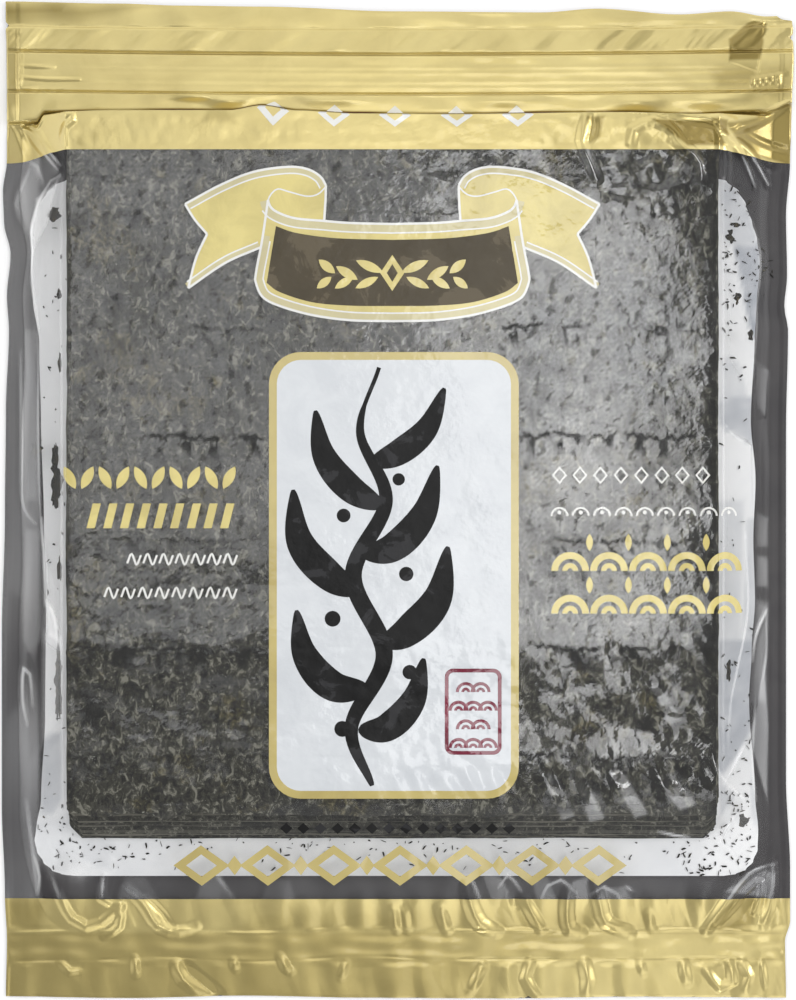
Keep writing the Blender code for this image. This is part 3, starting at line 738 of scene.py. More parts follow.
def wet_share(u, v):
    """Where the film is wet to the sheets and hardly mirrors: specks all over, and blotches low down."""
    specks = step(1.2, 1.4, turbulence(u, v * 0.8, 5.0, 75))
    low = step(-38.0, -50.0, v)
    blot = turbulence(u + 0.45 * v, v * 0.8, 15.0, 87)
    above = sum(np.exp(-((v - line - 4.5) / 3.2) ** 2) for line in MARK_LINES)
    blot = step(-0.12, 0.0, blot - 0.8 * above) * low
    return np.clip(0.6 * specks + 0.75 * blot, 0.0, 0.85)


def mirror_share(u, v):
    """How much the clear film mirrors on and off the sheets, with painted reflections: highlights, brighter
    and darker faces, a brighter left margin and a dark band by the stack's right edge.
    """
    cloud = 1.0 + 0.10 * turbulence(u, v * 0.7, 7.0, 71) + 0.10 * waves(u, v, 45.0, 73)
    fine = 1.0 + 0.10 * waves(u, v, 1.4, 74)
    on_sheets = (SHEET_MIRROR - LOW_LESS * step(-36.0, -48.0, v)) * cloud * fine
    on_sheets = on_sheets * (1.0 - wet_share(u, v)) * (1.0 - 0.85 * mark_rows(u, v))
    # Painted shade: near the stack's right edge the film hardly mirrors, which gives a dark band.
    slope_from = STACK_RIGHT - 3.6 + 1.1 * turbulence(u * 0.0, v, 16.0, 81)
    on_sheets = on_sheets * (1.0 - 0.95 * step(0.0, 0.5, u - slope_from))
    share = stack_share(u, v)
    # Painted reflection: the left margin mirrors more and so looks brighter.
    left_glare = LEFT_GLARE * step(-104.5, -106.5, u) * (1.0 + 0.25 * waves(u * 2.0, v, 50.0, 89))
    total = (FILM_MIRROR + left_glare) * (1.0 - share) + on_sheets * share
    # Painted highlights along folds, and painted brighter or darker faces.
    for wide, strong, path in GLINTS:
        total = total + ridge(u, v, wide, strong, path)
    for strong, soft, corners in LIT_FACES:
        total = total + strong * inside_share(u, v, corners, soft)
    return np.clip(total, LEAST_MIRROR, MOST_MIRROR)


def cling_share(u, v):
    """How much fine texture the film takes from the sheets."""
    patchy = np.clip(0.6 + 0.5 * turbulence(u, v, 22.0, 79, 2), 0.2, 1.0)
    return stack_share(u, v) * patchy


def dark_share(u, v):
    """Folds of the gold ends that turn away from the light; more than 1 is darker still."""
    total = strongest(u, v, DARK_FOLDS)
    for line, deep, wide, reach in SHADE_LINES:
        thin = deep * np.exp(-((v - line) / wide) ** 2) * (1.0 - step(reach - 8.0, reach, np.abs(u)))
        total = np.maximum(total, thin * (0.9 + 0.15 * waves(u, v * 0.3, 30.0, 400 + int(line))))
    dim = FOOT_DIM * (1.0 - step(0.0, 55.0, u)) * (1.0 - step(-128.5, -126.5, v))
    return np.clip(np.maximum(total, dim), 0.0, DARKEST)


def panel_shade(u, v):
    """Parts of the white panel that lie in the shade of the film's folds."""
    return strongest(u, v, PANEL_SHADES) * (1.0 + 0.1 * turbulence(u, v, 12.0, 97, 3))


def film_height(u, v):
    """Outer face of the front film."""
    z = SEAL_TOP + tent(u, v) + header(u, v) * step(CREASE - 0.3, CREASE, v)
    for wide, tall, path in CORNER_FOLDS + FOOT_FOLDS + SIDE_FOLDS:
        z = z + ridge(u, v, wide, tall, path)
    for corners, across, along in PATCHES:
        z = z + patch(u, v, corners, across, along)
    for x, y, long, wide, tall in SWELLS:
        z = z + tall * np.exp(-((u - x) / long) ** 2 - ((v - y) / wide) ** 2)
    firm = np.clip(0.3 + 0.5 * waves(u, v * 0.05, 15.0, 61), 0.1, 1.2)
    bend = 0.35 * waves(u, v * 0.05, 40.0, 62)
    z = z + 0.14 * firm * np.exp(-((v - FOOT_LINES[0] - 0.4 - bend) / 0.45) ** 2)
    z = z - 0.10 * firm * np.exp(-((v - FOOT_LINES[1] - bend) / 0.4) ** 2)
    on_stack = stack_share(u, v)
    free = step(0.0, 6.0, rim_distance(u, v)) * (1.0 - on_stack) * (1.0 - step(CREASE - 6.0, CREASE, v))
    low = 1.0 - step(-124.0, -112.0, v)
    z = z + cling(u, v) * on_stack + slack(u, v) * free * (1.0 - 0.7 * low)
    z = z + pleats(u, v) * step(0.0, 1.5, HALF_W - np.abs(u)) + flutter(u, v)
    held_up = on_stack * step(0.0, 2.0, v - STACK_FOOT)
    return np.maximum(z, FILM_LEAST + (SHEET_TOP - 0.35) * held_up)


def rim_distance(u, v):
    """How far in from the nearest edge of the pattern."""
    return np.minimum(HALF_W - np.abs(u), HALF_H - np.abs(v))


def back_under(u, v, film):
    """The back film under a given front: on the table, and up against it at the seals."""
    side = step(*SIDE_SEAL, HALF_W - np.abs(u)) * (1.0 - step(CREASE - 8.0, CREASE - 3.0, v))
    seal = np.maximum(np.maximum(side, step(*FOOT_SEAL, v)), step(*HEAD_SEAL, v))
    gap = FILM_GAP + GAP_GROWS * step(0.6, 3.0, rim_distance(u, v))
    return TABLE_GAP + np.maximum(film - gap - TABLE_GAP, 0.0) * seal


def back_height(u, v):
    """The back film under this front film."""
    return back_under(u, v, film_height(u, v))


def front_height(u, v):
    """The front film, brought down onto the back film along the cut edge."""
    film = film_height(u, v)
    back = back_under(u, v, film)
    shut = step(0.0, RIM_SOFT, rim_distance(u, v))
    return back + (film - back) * (RIM_SHARE + (1.0 - RIM_SHARE) * shut)


def place(u, v):
    """Where a point of the flat pattern lies in plan."""
    to_left = 1.0 - step(-HALF_W, -HALF_W + SIDE_FADE, u)
    to_right = step(HALF_W - SIDE_FADE, HALF_W, u)
    to_head = step(HALF_H - HEAD_FADE, HALF_H, v)
    to_foot = 1.0 - step(-HALF_H, -HALF_H + FOOT_FADE, v)
    left = run(LEFT_INSET, v) + NOTCH_DEEP * np.exp(-((v - LEFT_NOTCH) / NOTCH_WIDE) ** 2)
    right = run(RIGHT_INSET, v) + NOTCH_DEEP * np.exp(-((v - RIGHT_NOTCH) / NOTCH_WIDE) ** 2)
    x = u + left * to_left - right * to_right
    y = v - run(HEAD_INSET, u) * to_head + run(FOOT_INSET, u) * to_foot
    y = y + run(CREASE_BEND, u) * np.exp(-((v - CREASE) / CREASE_BEND_WIDE) ** 2)
    zip_zone = between(CREASE + 3.0, ZIP_LOW, SEAL_LINE, HALF_H - 2.0, v)
    y = y - HEAD_SAG * (1.0 - (u / HALF_W) ** 2) * zip_zone
    corner = np.clip((u - HALF_W) + (v - HALF_H) + 2.0 * CORNER_CUT, 0.0, None) / 2.0
    return x - corner, y - corner


def points(u, v, height, lift=0.0):
    """Points of the pattern in metres, at a height and a little above it."""
    x, y = place(u, v)
    return np.stack((x, y, height(u, v) + lift), axis=-1) * MM


def normals(u, v, height, reach=0.2):
    """Unit normals of a height over the pattern, the same for every piece on it."""
    across = points(u + reach, v, height) - points(u - reach, v, height)
    along = points(u, v + reach, height) - points(u, v - reach, height)
    out = np.cross(across, along)
    return out / np.linalg.norm(out, axis=-1, keepdims=True)


def lines(*bands):
    """Grid lines from bands of (from, to, count)."""
    out = [bands[0][0]]
    for start, end, count in bands:
        out += [start + (end - start) * (i + 1) / count for i in range(count)]
    return np.array(out)


def new_piece(name, mesh, *materials):
    """An object in the scene, with its material if it has one."""
    ob = bpy.data.objects.new(name, mesh)
    bpy.context.scene.collection.objects.link(ob)
    for mat in materials:
        mesh.materials.append(mat)
    return ob


def paint(mesh, name, values):
    """One number a point, for a material to read."""
    mesh.attributes.new(name, "FLOAT", "POINT").data.foreach_set("value", np.ravel(values))


def finish_mesh(mesh, face_normals):
    """Smooth shading by normals worked out from the height."""
    mesh.polygons.foreach_set("use_smooth", [True] * len(mesh.polygons))
    mesh.normals_split_custom_set_from_vertices(face_normals.reshape(-1, 3).tolist())
    mesh.update()


def grid_faces(tall, wide, first=0):
    """Squares of a grid of points."""
    index = np.arange(tall * wide).reshape(tall, wide) + first
    quads = np.stack((index[:-1, :-1], index[:-1, 1:], index[1:, 1:], index[1:, :-1]), axis=-1)
    return quads.reshape(-1, 4).tolist()


def sheet_mesh(name, u, v, height, rules, lift=0.0):
    """A grid of film over the pattern, facing up, with numbers painted on it by named rules."""
    mesh = bpy.data.meshes.new(name)
    spots = points(u, v, height, lift).reshape(-1, 3)
    mesh.from_pydata(spots.tolist(), [], grid_faces(*u.shape))
    finish_mesh(mesh, normals(u, v, height))
    for label, rule in rules.items():
        paint(mesh, label, rule(u, v))
    return mesh


def shell_mesh(name, u, v, height, thick):
    """A grid with a second face a little below it and a closed rim."""
    tall, wide = u.shape
    count = tall * wide
    top = points(u, v, height).reshape(-1, 3)
    low = points(u, v, height, -thick).reshape(-1, 3)
    faces = grid_faces(tall, wide)
    faces += [quad[::-1] for quad in grid_faces(tall, wide, count)]
    index = np.arange(count).reshape(tall, wide)
    rim = [*index[0, :-1], *index[:-1, -1], *index[-1, :0:-1], *index[:0:-1, 0]]
    for a, b in zip(rim, rim[1:] + rim[:1]):
        faces.append([int(b), int(a), int(a) + count, int(b) + count])
    mesh = bpy.data.meshes.new(name)
    mesh.from_pydata(np.concatenate((top, low)).tolist(), [], faces)
    up = normals(u, v, height).reshape(-1, 3)
    finish_mesh(mesh, np.concatenate((up, -up)))
    return mesh


# Outlines of the print, in pattern millimetres: the pitch of points along a straight
# side, and how far the inner points of a shape are set off its corner.
LOOP_PITCH = 0.9
INNER_OFF = (0.13, 0.17)


def smooth_path(stops, pitch=0.7):
    """A rounded path through stops, with a point about every pitch."""
    pts = [np.array(p, float) for p in stops]
    pts = [2 * pts[0] - pts[1], *pts, 2 * pts[-1] - pts[-2]]
    out = []
    for a, b, c, d in zip(pts, pts[1:], pts[2:], pts[3:]):
        count = max(1, int(np.linalg.norm(c - b) / pitch))
        for i in range(count):
            t = i / count
            out.append(0.5 * (2 * b + (c - a) * t + (2 * a - 5 * b + 4 * c - d) * t * t
                              + (3 * b - a - 3 * c + d) * t ** 3))
    out.append(pts[-2])
    return [tuple(p) for p in out]


def straight_loop(stops):
    """A closed loop of straight stretches, with points along each."""
    out = []
    for (x0, y0), (x1, y1) in zip(stops, stops[1:] + stops[:1]):
        count = max(1, int(math.hypot(x1 - x0, y1 - y0) / LOOP_PITCH))
        out += [(x0 + (x1 - x0) * i / count, y0 + (y1 - y0) * i / count) for i in range(count)]
    return out


def beside(path, offset):
    """The path moved to its left by an offset, one number or one for each point."""
    pts = np.array(path)
    way = np.gradient(pts, axis=0)
    way /= np.maximum(np.linalg.norm(way, axis=1, keepdims=True), 1e-9)
    offset = np.broadcast_to(np.asarray(offset, float), len(pts))[:, None]
    return [tuple(p) for p in pts + np.stack((-way[:, 1], way[:, 0]), axis=1) * offset]


def stroke(path, width):
    """Outline of a line of one width, or of a brush stroke with a width for each point."""
    width = np.asarray(width, float)
    return beside(path, width / 2.0) + beside(path, -width / 2.0)[::-1]


def ribbon_between(path, near, far):
    """Outline of a band that runs beside a path."""
    return beside(path, near) + beside(path, far)[::-1]


def round_box(box, radius, inset=0.0):
    """Outline of a box with rounded corners, or of the same box moved in all round."""
    left, foot, right, head = (side + inset * way for side, way in zip(box, (1, 1, -1, -1)))
    out = []
    for cx, cy, start in ((right - radius, head - radius, 0.0), (left + radius, head - radius, 90.0),
                          (left + radius, foot + radius, 180.0), (right - radius, foot + radius, 270.0)):
        for k in range(9):
            turn = math.radians(start + 90.0 * k / 8)
            out.append((cx + radius * math.cos(turn), cy + radius * math.sin(turn)))
    return straight_loop(out)


def diamond(u, v, wide, tall):
    """Outline of a diamond about its centre."""
    return straight_loop([(u + wide / 2, v), (u, v + tall / 2), (u - wide / 2, v), (u, v - tall / 2)])


def open_diamond(u, v, outer, inner):
    """A diamond with a diamond hole; each size is (wide, tall)."""
    return diamond(u, v, *outer), [diamond(u, v, *inner)]


def leaf(u, v, long, wide, turn):
    """A pointed leaf about its centre, turned in degrees."""
    share = np.linspace(0.0, 1.0, 9)
    half = 0.5 * wide * np.sin(np.pi * share) ** 0.8
    along = (share - 0.5) * long
    c, s = math.cos(math.radians(turn)), math.sin(math.radians(turn))
    rim = list(zip(along, half)) + list(zip(along[::-1][1:-1], -half[::-1][1:-1]))
    return [(u + c * x - s * y, v + s * x + c * y) for x, y in rim]


def disc(u, v, radius, count=20):
    turns = [2 * math.pi * k / count for k in range(count)]
    return [(u + radius * math.cos(turn), v + radius * math.sin(turn)) for turn in turns]


def arch(u, v, radius, wide):
    """A half ring that stands on the line v."""
    turn = np.linspace(0.0, math.pi, 17)
    outer = [(u + radius * math.cos(t), v + radius * math.sin(t)) for t in turn]
    inner = [(u + (radius - wide) * math.cos(t), v + (radius - wide) * math.sin(t)) for t in turn[::-1]]
    return outer + inner


def row_of(first, pitch, count):
    """Even places along a row."""
    return [first + pitch * k for k in range(count)]


def inside(loop, x, y):
    """Which points lie inside a closed loop."""
    hit = np.zeros(x.shape, bool)
    for (x0, y0), (x1, y1) in zip(loop, loop[1:] + loop[:1]):
        if y0 != y1:
            hit ^= ((y0 > y) != (y1 > y)) & (x < x0 + (y - y0) * (x1 - x0) / (y1 - y0))
    return hit


def fill(loop, holes=(), pitch=1.0):
    """Points and triangles of a flat shape, fine enough to follow the film."""
    spots, edges = [], []
    for rim in (loop, *holes):
        base = len(spots)
        spots += rim
        edges += [(base + k, base + (k + 1) % len(rim)) for k in range(len(rim))]
    low, high = np.min(loop, axis=0), np.max(loop, axis=0)
    x, y = np.meshgrid(np.arange(low[0], high[0], pitch), np.arange(low[1], high[1], pitch))
    x, y = x.ravel() + INNER_OFF[0], y.ravel() + INNER_OFF[1]
    keep = inside(loop, x, y)
    spots += list(zip(x[keep], y[keep]))
    verts, _, faces, *_ = delaunay_2d_cdt([Vector(p) for p in spots], edges, [], 0, 1e-4, False)
    verts = np.array([tuple(p) for p in verts])
    faces = np.array(faces)
    middle = verts[faces].mean(axis=1)
    keep = inside(loop, middle[:, 0], middle[:, 1])
    for hole in holes:
        keep &= ~inside(hole, middle[:, 0], middle[:, 1])
    return verts, faces[keep]


def printed(name, material, shapes, lift=INK_ALONE, pitch=1.0):
    """Shapes of ink on the film, as one piece: each is a loop, or a loop with its holes."""
    all_points, all_faces, first = [], [], 0
    for shape in shapes:
        loop, holes = shape if isinstance(shape[0], list) else (shape, ())
        verts, faces = fill(loop, holes, pitch)
        all_points.append(verts)
        all_faces += (faces + first).tolist()
        first += len(verts)
    u, v = np.concatenate(all_points).T
    mesh = bpy.data.meshes.new(name)
    mesh.from_pydata(points(u, v, front_height, lift).tolist(), [], all_faces)
    finish_mesh(mesh, normals(u, v, front_height))
    paint(mesh, "cling", cling_share(u, v))
    return new_piece(name, mesh, material)


# The ribbon, about its own centre; the left half is given and mirrored.
RIBBON_AT = (-1.66, 74.06)
TAIL_TOP = ((-60.2, 11.9), (-50.0, 17.4), (-40.5, 21.2), (-30.6, 22.7), (-24.8, 22.1),
            (-21.0, 20.0), (-19.3, 17.4))
CURL_SIDE = ((-19.3, 17.4), (-19.4, 13.1), (-19.8, 7.0))
NOTCH = ((-60.2, 11.9), (-57.3, 7.3), (-53.8, 3.2))
NOTCH_LOW = ((-53.8, 3.2), (-57.0, -3.8), (-59.3, -12.5))
TAIL_LOW = ((-59.3, -12.5), (-48.6, -5.2), (-38.4, -0.7))
CURL_IN = ((-36.1, 13.1), (-35.2, 14.8), (-33.2, 16.3), (-29.7, 15.4), (-24.8, 14.2),
           (-21.6, 14.8), (-19.3, 17.0))
BODY_SIDE = ((-36.1, 13.1), (-37.8, 1.5), (-39.6, -8.1), (-39.6, -11.0), (-37.6, -15.1),
             (-32.6, -17.7), (-23.3, -20.3), (-12.3, -21.8), (0.0, -22.1))
BODY_TOP = ((-36.1, 13.1), (-35.5, 11.3), (-33.5, 9.6), (-28.3, 7.8), (-19.8, 7.0),
            (-12.3, 6.4), (0.0, 6.1))
FIELD_TOP = ((-33.8, 5.5), (-27.7, 3.5), (-16.1, 2.0), (0.0, 1.5))
FIELD_LOW = ((-36.5, -11.0), (-32.6, -13.7), (-23.3, -16.6), (-12.3, -17.6), (0.0, -17.7))
SPRIG_LINE = -8.1
THIN_LINE = 0.45
THICK_LINE = 0.7
BROAD_PITCH = 1.1

# The plaque and the red frame, as (left, foot, right, head).
PLAQUE = (-37.5, -86.8, 35.1, 43.0)
PLAQUE_ROUND = 9.3
PLAQUE_FRAME = 2.3
SEAL_BOX = (13.6, -74.0, 30.1, -49.0)


def mirrored(path):
    """The path seen from the other side of the middle."""
    return [(-x, y) for x, y in path]


def put(path):
    """The path moved to where the ribbon is."""
    return [(x + RIBBON_AT[0], y + RIBBON_AT[1]) for x, y in path]


def whole(half):
    """A path from the left end through the middle to the right end."""
    left = smooth_path(half)
    return left + mirrored(left[:-1])[::-1]


def ribbon(gold, shade, white, brown):
    """A ribbon with two curled tails, a dark field and a sprig of leaves."""
    body = whole(BODY_TOP) + whole(BODY_SIDE)[::-1][1:-1]
    gold_shapes = [put(body)]
    shade_shapes, white_lines = [], []
    for flip in (list, mirrored):
        tail = (smooth_path(NOTCH)[::-1][:-1] + smooth_path(TAIL_TOP)[:-1] + smooth_path(CURL_SIDE)[:-1]
                + smooth_path(BODY_TOP[:5])[::-1][:-1] + smooth_path(BODY_SIDE[:2])[:-1]
                + smooth_path(TAIL_LOW)[::-1][:-1] + smooth_path(NOTCH_LOW)[::-1][:-1])
        gold_shapes.append(put(flip(tail)))
        top, low = smooth_path(TAIL_TOP), smooth_path(TAIL_LOW)
        shade_shapes += [put(flip(ribbon_between(top, -0.4, -1.9))),
                         put(flip(ribbon_between(low, 0.4, 1.6)))]
        thin = (beside(top, -1.9)[1:], beside(low, 1.7)[1:], smooth_path(CURL_IN))
        thick = (top, low, smooth_path(CURL_SIDE), smooth_path(NOTCH), smooth_path(NOTCH_LOW))
        white_lines += [put(flip(stroke(path, THIN_LINE))) for path in thin]
        white_lines += [put(flip(stroke(path, THICK_LINE))) for path in thick]
    top, low = whole(BODY_TOP), whole(BODY_SIDE)
    shade_shapes += [put(ribbon_between(top, -0.4, -2.4)),
                     put(ribbon_between(low[14:-14], 0.4, 2.1))]
    white_lines += [put(stroke(path, THICK_LINE)) for path in (top, low)]
    white_lines += [put(stroke(beside(top, -2.6)[2:-2], THIN_LINE)),
                    put(stroke(beside(low, 2.3)[16:-16], THIN_LINE))]
    field = whole(FIELD_TOP) + whole(FIELD_LOW)[::-1]
    sprig = []
    for side in (-1.0, 1.0):
        for k, at in enumerate((6.6, 13.2, 19.0)):
            upper = leaf(side * at, SPRIG_LINE + 1.9 * (1 - k % 2), 8.6 - 1.2 * k, 2.7, side * (24 + 8 * k))
            lower = leaf(side * (at + 0.8), SPRIG_LINE - 2.8, 7.4 - 1.0 * k, 2.4, -side * (26 + 6 * k))
            sprig += [put(upper), put(lower)]
    outer, holes = open_diamond(0.0, SPRIG_LINE, (7.0, 10.5), (3.2, 5.2))
    sprig.append((put(outer), [put(hole) for hole in holes]))
    return (printed("ribbon_gold", gold, gold_shapes, INK_UNDER, BROAD_PITCH),
            printed("ribbon_shade", shade, shade_shapes, INK_OVER),
            printed("ribbon_lines", white, white_lines, INK_LINE),
            printed("ribbon_field", brown, [put(field)], INK_OVER, BROAD_PITCH),
            printed("ribbon_sprig", gold, sprig, INK_LINE))


def brush_strokes():
    """A kelp plant in brush strokes: a swaying stem, broad blades and small floats."""
    stem = smooth_path([(-7.5, -83.0), (-13.5, -66.0), (-4.0, -45.0), (-13.0, -22.0), (-3.5, 0.0),
                        (-11.0, 20.0), (-5.5, 38.5)])
    share = np.linspace(0.0, 1.0, len(stem))
    shapes = [stroke(stem, 1.2 + 4.6 * np.sin(np.pi * np.clip(share * 1.1, 0.0, 1.0)) ** 0.6
                     * (1.0 - 0.35 * share))]
    blades = (
        ((-11.5, -67.0), (-3.0, -66.0), (4.5, -58.0), (7.5, -46.0), 8.4),
        ((-8.5, -55.0), (-19.0, -54.0), (-27.0, -45.0), (-29.5, -32.0), 9.0),
        ((-5.0, -42.0), (3.0, -38.0), (11.5, -28.5), (14.5, -13.5), 9.6),
        ((-11.0, -27.0), (-20.0, -22.0), (-28.5, -12.0), (-30.5, 3.0), 9.2),
        ((-10.5, -16.0), (-1.0, -13.5), (7.5, -4.0), (11.5, 10.0), 8.8),
        ((-4.5, -2.0), (-14.0, 3.5), (-21.5, 13.0), (-24.0, 26.0), 8.2),
        ((-8.0, 10.5), (0.5, 14.0), (8.5, 21.0), (13.5, 32.5), 7.6),
    )
    for *stops, width in blades:
        path = smooth_path(stops)
        share = np.linspace(0.0, 1.0, len(path))
        shapes.append(stroke(path, 0.9 + width * np.sin(np.pi * share ** 0.8) ** 0.7 * (1.0 - 0.25 * share)))
    shapes += [disc(-16.2, -66.5, 2.3), disc(3.4, -50.0, 2.1), disc(-19.0, -34.5, 2.3),
               disc(2.4, -21.5, 2.1), disc(-15.8, -4.5, 2.0), disc(0.2, 6.0, 1.8)]
    return shapes


def plaque(gold, white, ink, red):
    """A white panel with a gold frame, a brushed plant and a small red frame of waves."""
    rim = round_box(PLAQUE, PLAQUE_ROUND)
    inner = round_box(PLAQUE, PLAQUE_ROUND - PLAQUE_FRAME, PLAQUE_FRAME)
    mark = [(round_box(SEAL_BOX, 2.4), [round_box(SEAL_BOX, 1.5, 1.1)])]
    for row, v in enumerate(row_of(-72.0, 5.4, 4)):
        for u in (row_of(17.6, 4.25, 3) if row % 2 == 0 else row_of(19.7, 4.3, 2)):
            mark += [arch(u, v, 2.9, 0.9), arch(u, v, 1.3, 0.8)]
    return (printed("plaque_frame", gold, [(rim, [inner])], INK_UNDER),
            printed("plaque_white", white, [inner], INK_UNDER),
            printed("plaque_brush", ink, brush_strokes(), INK_BRUSH),
            printed("plaque_seal", red, mark, INK_BRUSH))


def side_ornaments(gold, white):
    """Rows of plain motifs beside the plaque: leaves, bars and waves at the left, and
    diamonds, small arches and double arches at the right."""
    gold_shapes = [leaf(u, 6.5, 7.4, 3.0, 62.0 if k % 2 else 118.0)
                   for k, u in enumerate(row_of(-95.4, 5.15, 10))]
    for u in row_of(-88.6, 4.85, 9):
        gold_shapes.append([(u - 1.9, -8.2), (u + 0.5, -8.2), (u + 2.3, -1.0), (u - 0.1, -1.0)])
    white_shapes = []
    for first, last, v in ((-79.0, -46.4, -17.2), (-85.8, -46.4, -27.0)):
        count = int((last - first) / 4.6)
        for k in range(count):
            u = first + (last - first) * (k + 0.5) / count
            wave = [(u - 2.0, v - 1.2), (u - 0.7, v + 1.6), (u + 0.7, v - 1.6), (u + 2.0, v + 1.2)]
            white_shapes.append(stroke(smooth_path(wave), 0.62))
    white_shapes += [open_diamond(u, 7.2, (4.4, 5.2), (3.0, 3.6)) for u in row_of(46.9, 5.95, 8)]
    for u in row_of(46.9, 6.2, 9):
        white_shapes += [arch(u, -4.6, 2.6, 0.6), disc(u, -3.6, 0.6, 10)]
    for v in (-20.6, -33.0):
        for k, u in enumerate(row_of(50.0, 11.3, 5)):
            gold_shapes += [arch(u, v, 5.5, 2.0), arch(u, v, 2.3, 1.5)]
            if k < 4:
                gold_shapes.append(leaf(u + 5.65, v + 8.3, 5.0, 2.0, 90.0))
    return printed("side_gold", gold, gold_shapes), printed("side_white", white, white_shapes)


def end_ornaments(gold, white, ink):
    """The foot's band of lozenges, the small dark row above it, the marks by the crease."""
    band = []
    for k, u in enumerate(row_of(-57.6, 19.4, 7)):
        band.append(open_diamond(u, -107.1, (16.4, 12.4), (9.0, 6.8)))
        if k < 6:
            band.append(diamond(u + 9.7, -107.1, 4.4, 6.0))
    row = [diamond(u, -95.8, 3.6, 3.4) for u in row_of(-32.6, 5.0, 14)]
    marks = [open_diamond(u, 112.3, (9.4, 7.6), (4.6, 3.6)) for u in (-36.3, -18.6, -0.9, 17.1, 34.8)]
    return (printed("foot_band", gold, band, INK_OVER, 0.8),
            printed("foot_row", ink, row, INK_OVER, 0.8),
            printed("crease_marks", white, marks, INK_OVER, 0.5))


# Node groups for what several finishes share.
def node_group(name, inputs, outputs, kind="ShaderNodeTree"):
    """A node group with its inputs as (label, kind, value), its outputs as (label, kind)."""
    tree = bpy.data.node_groups.new(name, kind)
    for label, kind, value in inputs:
        socket = tree.interface.new_socket(label, in_out="INPUT", socket_type=kind)
        if value is not None:
            socket.default_value = value
    for label, kind in outputs:
        tree.interface.new_socket(label, in_out="OUTPUT", socket_type=kind)
    return tree, tree.nodes.new("NodeGroupInput"), tree.nodes.new("NodeGroupOutput")


def plug(tree, socket, value):
    """Link an output to a socket, or set the socket; a colour is given as three numbers."""
    if isinstance(value, bpy.types.NodeSocket):
        tree.links.new(value, socket)
    elif socket.type == "RGBA":
        socket.default_value = (*value, 1.0)
    else:
        socket.default_value = value


def feed(tree, made, **values):
    """Set a node's inputs and settings by name, with _ for each space, and give the node back."""
    for key, value in values.items():
        socket = made.inputs.get(key.replace("_", " "))
        if socket is None:
            setattr(made, key, value)
        else:
            plug(tree, socket, value)
    return made


def node(tree, kind, **values):
    """A shader node with its inputs and settings by name."""
    return feed(tree, tree.nodes.new("ShaderNode" + kind), **values)


def maths(tree, operation, *values):
    """A sum or product of values."""
    made = node(tree, "Math", operation=operation)
    for socket, value in zip(made.inputs, values):
        plug(tree, socket, value)
    return made.outputs[0]


def mixed(tree, share, low, high, blend="MIX"):
    """Colour between two, by a share."""
    made = node(tree, "Mix", data_type="RGBA", blend_type=blend, clamp_factor=False)
    for socket, value in ((made.inputs[0], share), (made.inputs[6], low), (made.inputs[7], high)):
        plug(tree, socket, value)
    return made.outputs[2]


def ramp(tree, fac, *stops):
    """A colour ramp through stops, each a place and a colour or a grey."""
    made = tree.nodes.new("ShaderNodeValToRGB")
    tree.links.new(fac, made.inputs[0])
    while len(made.color_ramp.elements) < len(stops):
        made.color_ramp.elements.new(0.5)
    for element, (at, colour) in zip(made.color_ramp.elements, stops):
        element.position = at
        element.color = (*colour, 1.0) if isinstance(colour, tuple) else (colour, colour, colour, 1.0)
    return made.outputs[0]


def noise(tree, vector, scale, detail, rough=0.5, twist=0.0):
    """Cloudy noise, about 0.5."""
    made = node(tree, "TexNoise", Vector=vector, Scale=scale, Detail=detail, Roughness=rough,
                Distortion=twist)
    return made.outputs["Fac"]


def film_grain():
    """Height in millimetres of the film's own grain, stronger where it clings to the sheets."""
    tree, given, out = node_group(
        "film_grain", (("Vector", "NodeSocketVector", None), ("Cling", "NodeSocketFloat", 0.0)),
        (("Height", "NodeSocketFloat"),))
    depth = maths(tree, "MULTIPLY_ADD", given.outputs["Cling"], 0.07, 0.006)
    coarse = noise(tree, given.outputs["Vector"], 400.0, 2.0, 0.6)
    plug(tree, out.inputs["Height"], maths(tree, "MULTIPLY", coarse, depth))


def mottle():
    """A tint that is cloudy, or in sharper patches where sheets press against it."""
    tree, given, out = node_group(
        "mottle", (("Vector", "NodeSocketVector", None), ("Light", "NodeSocketColor", None),
                   ("Dark", "NodeSocketColor", None), ("Size", "NodeSocketFloat", 60.0),
                   ("Sharp", "NodeSocketFloat", 0.0)), (("Color", "NodeSocketColor"),))
    cloud = noise(tree, given.outputs["Vector"], given.outputs["Size"], 5.0, 0.6, 0.6)
    soft = ramp(tree, cloud, (0.34, 1.0), (0.62, 0.0))
    crisp = ramp(tree, cloud, (0.545, 1.0), (0.575, 0.0))
    share = mixed(tree, given.outputs["Sharp"], soft, crisp)
    plug(tree, out.inputs["Color"], mixed(tree, share, given.outputs["Light"], given.outputs["Dark"]))


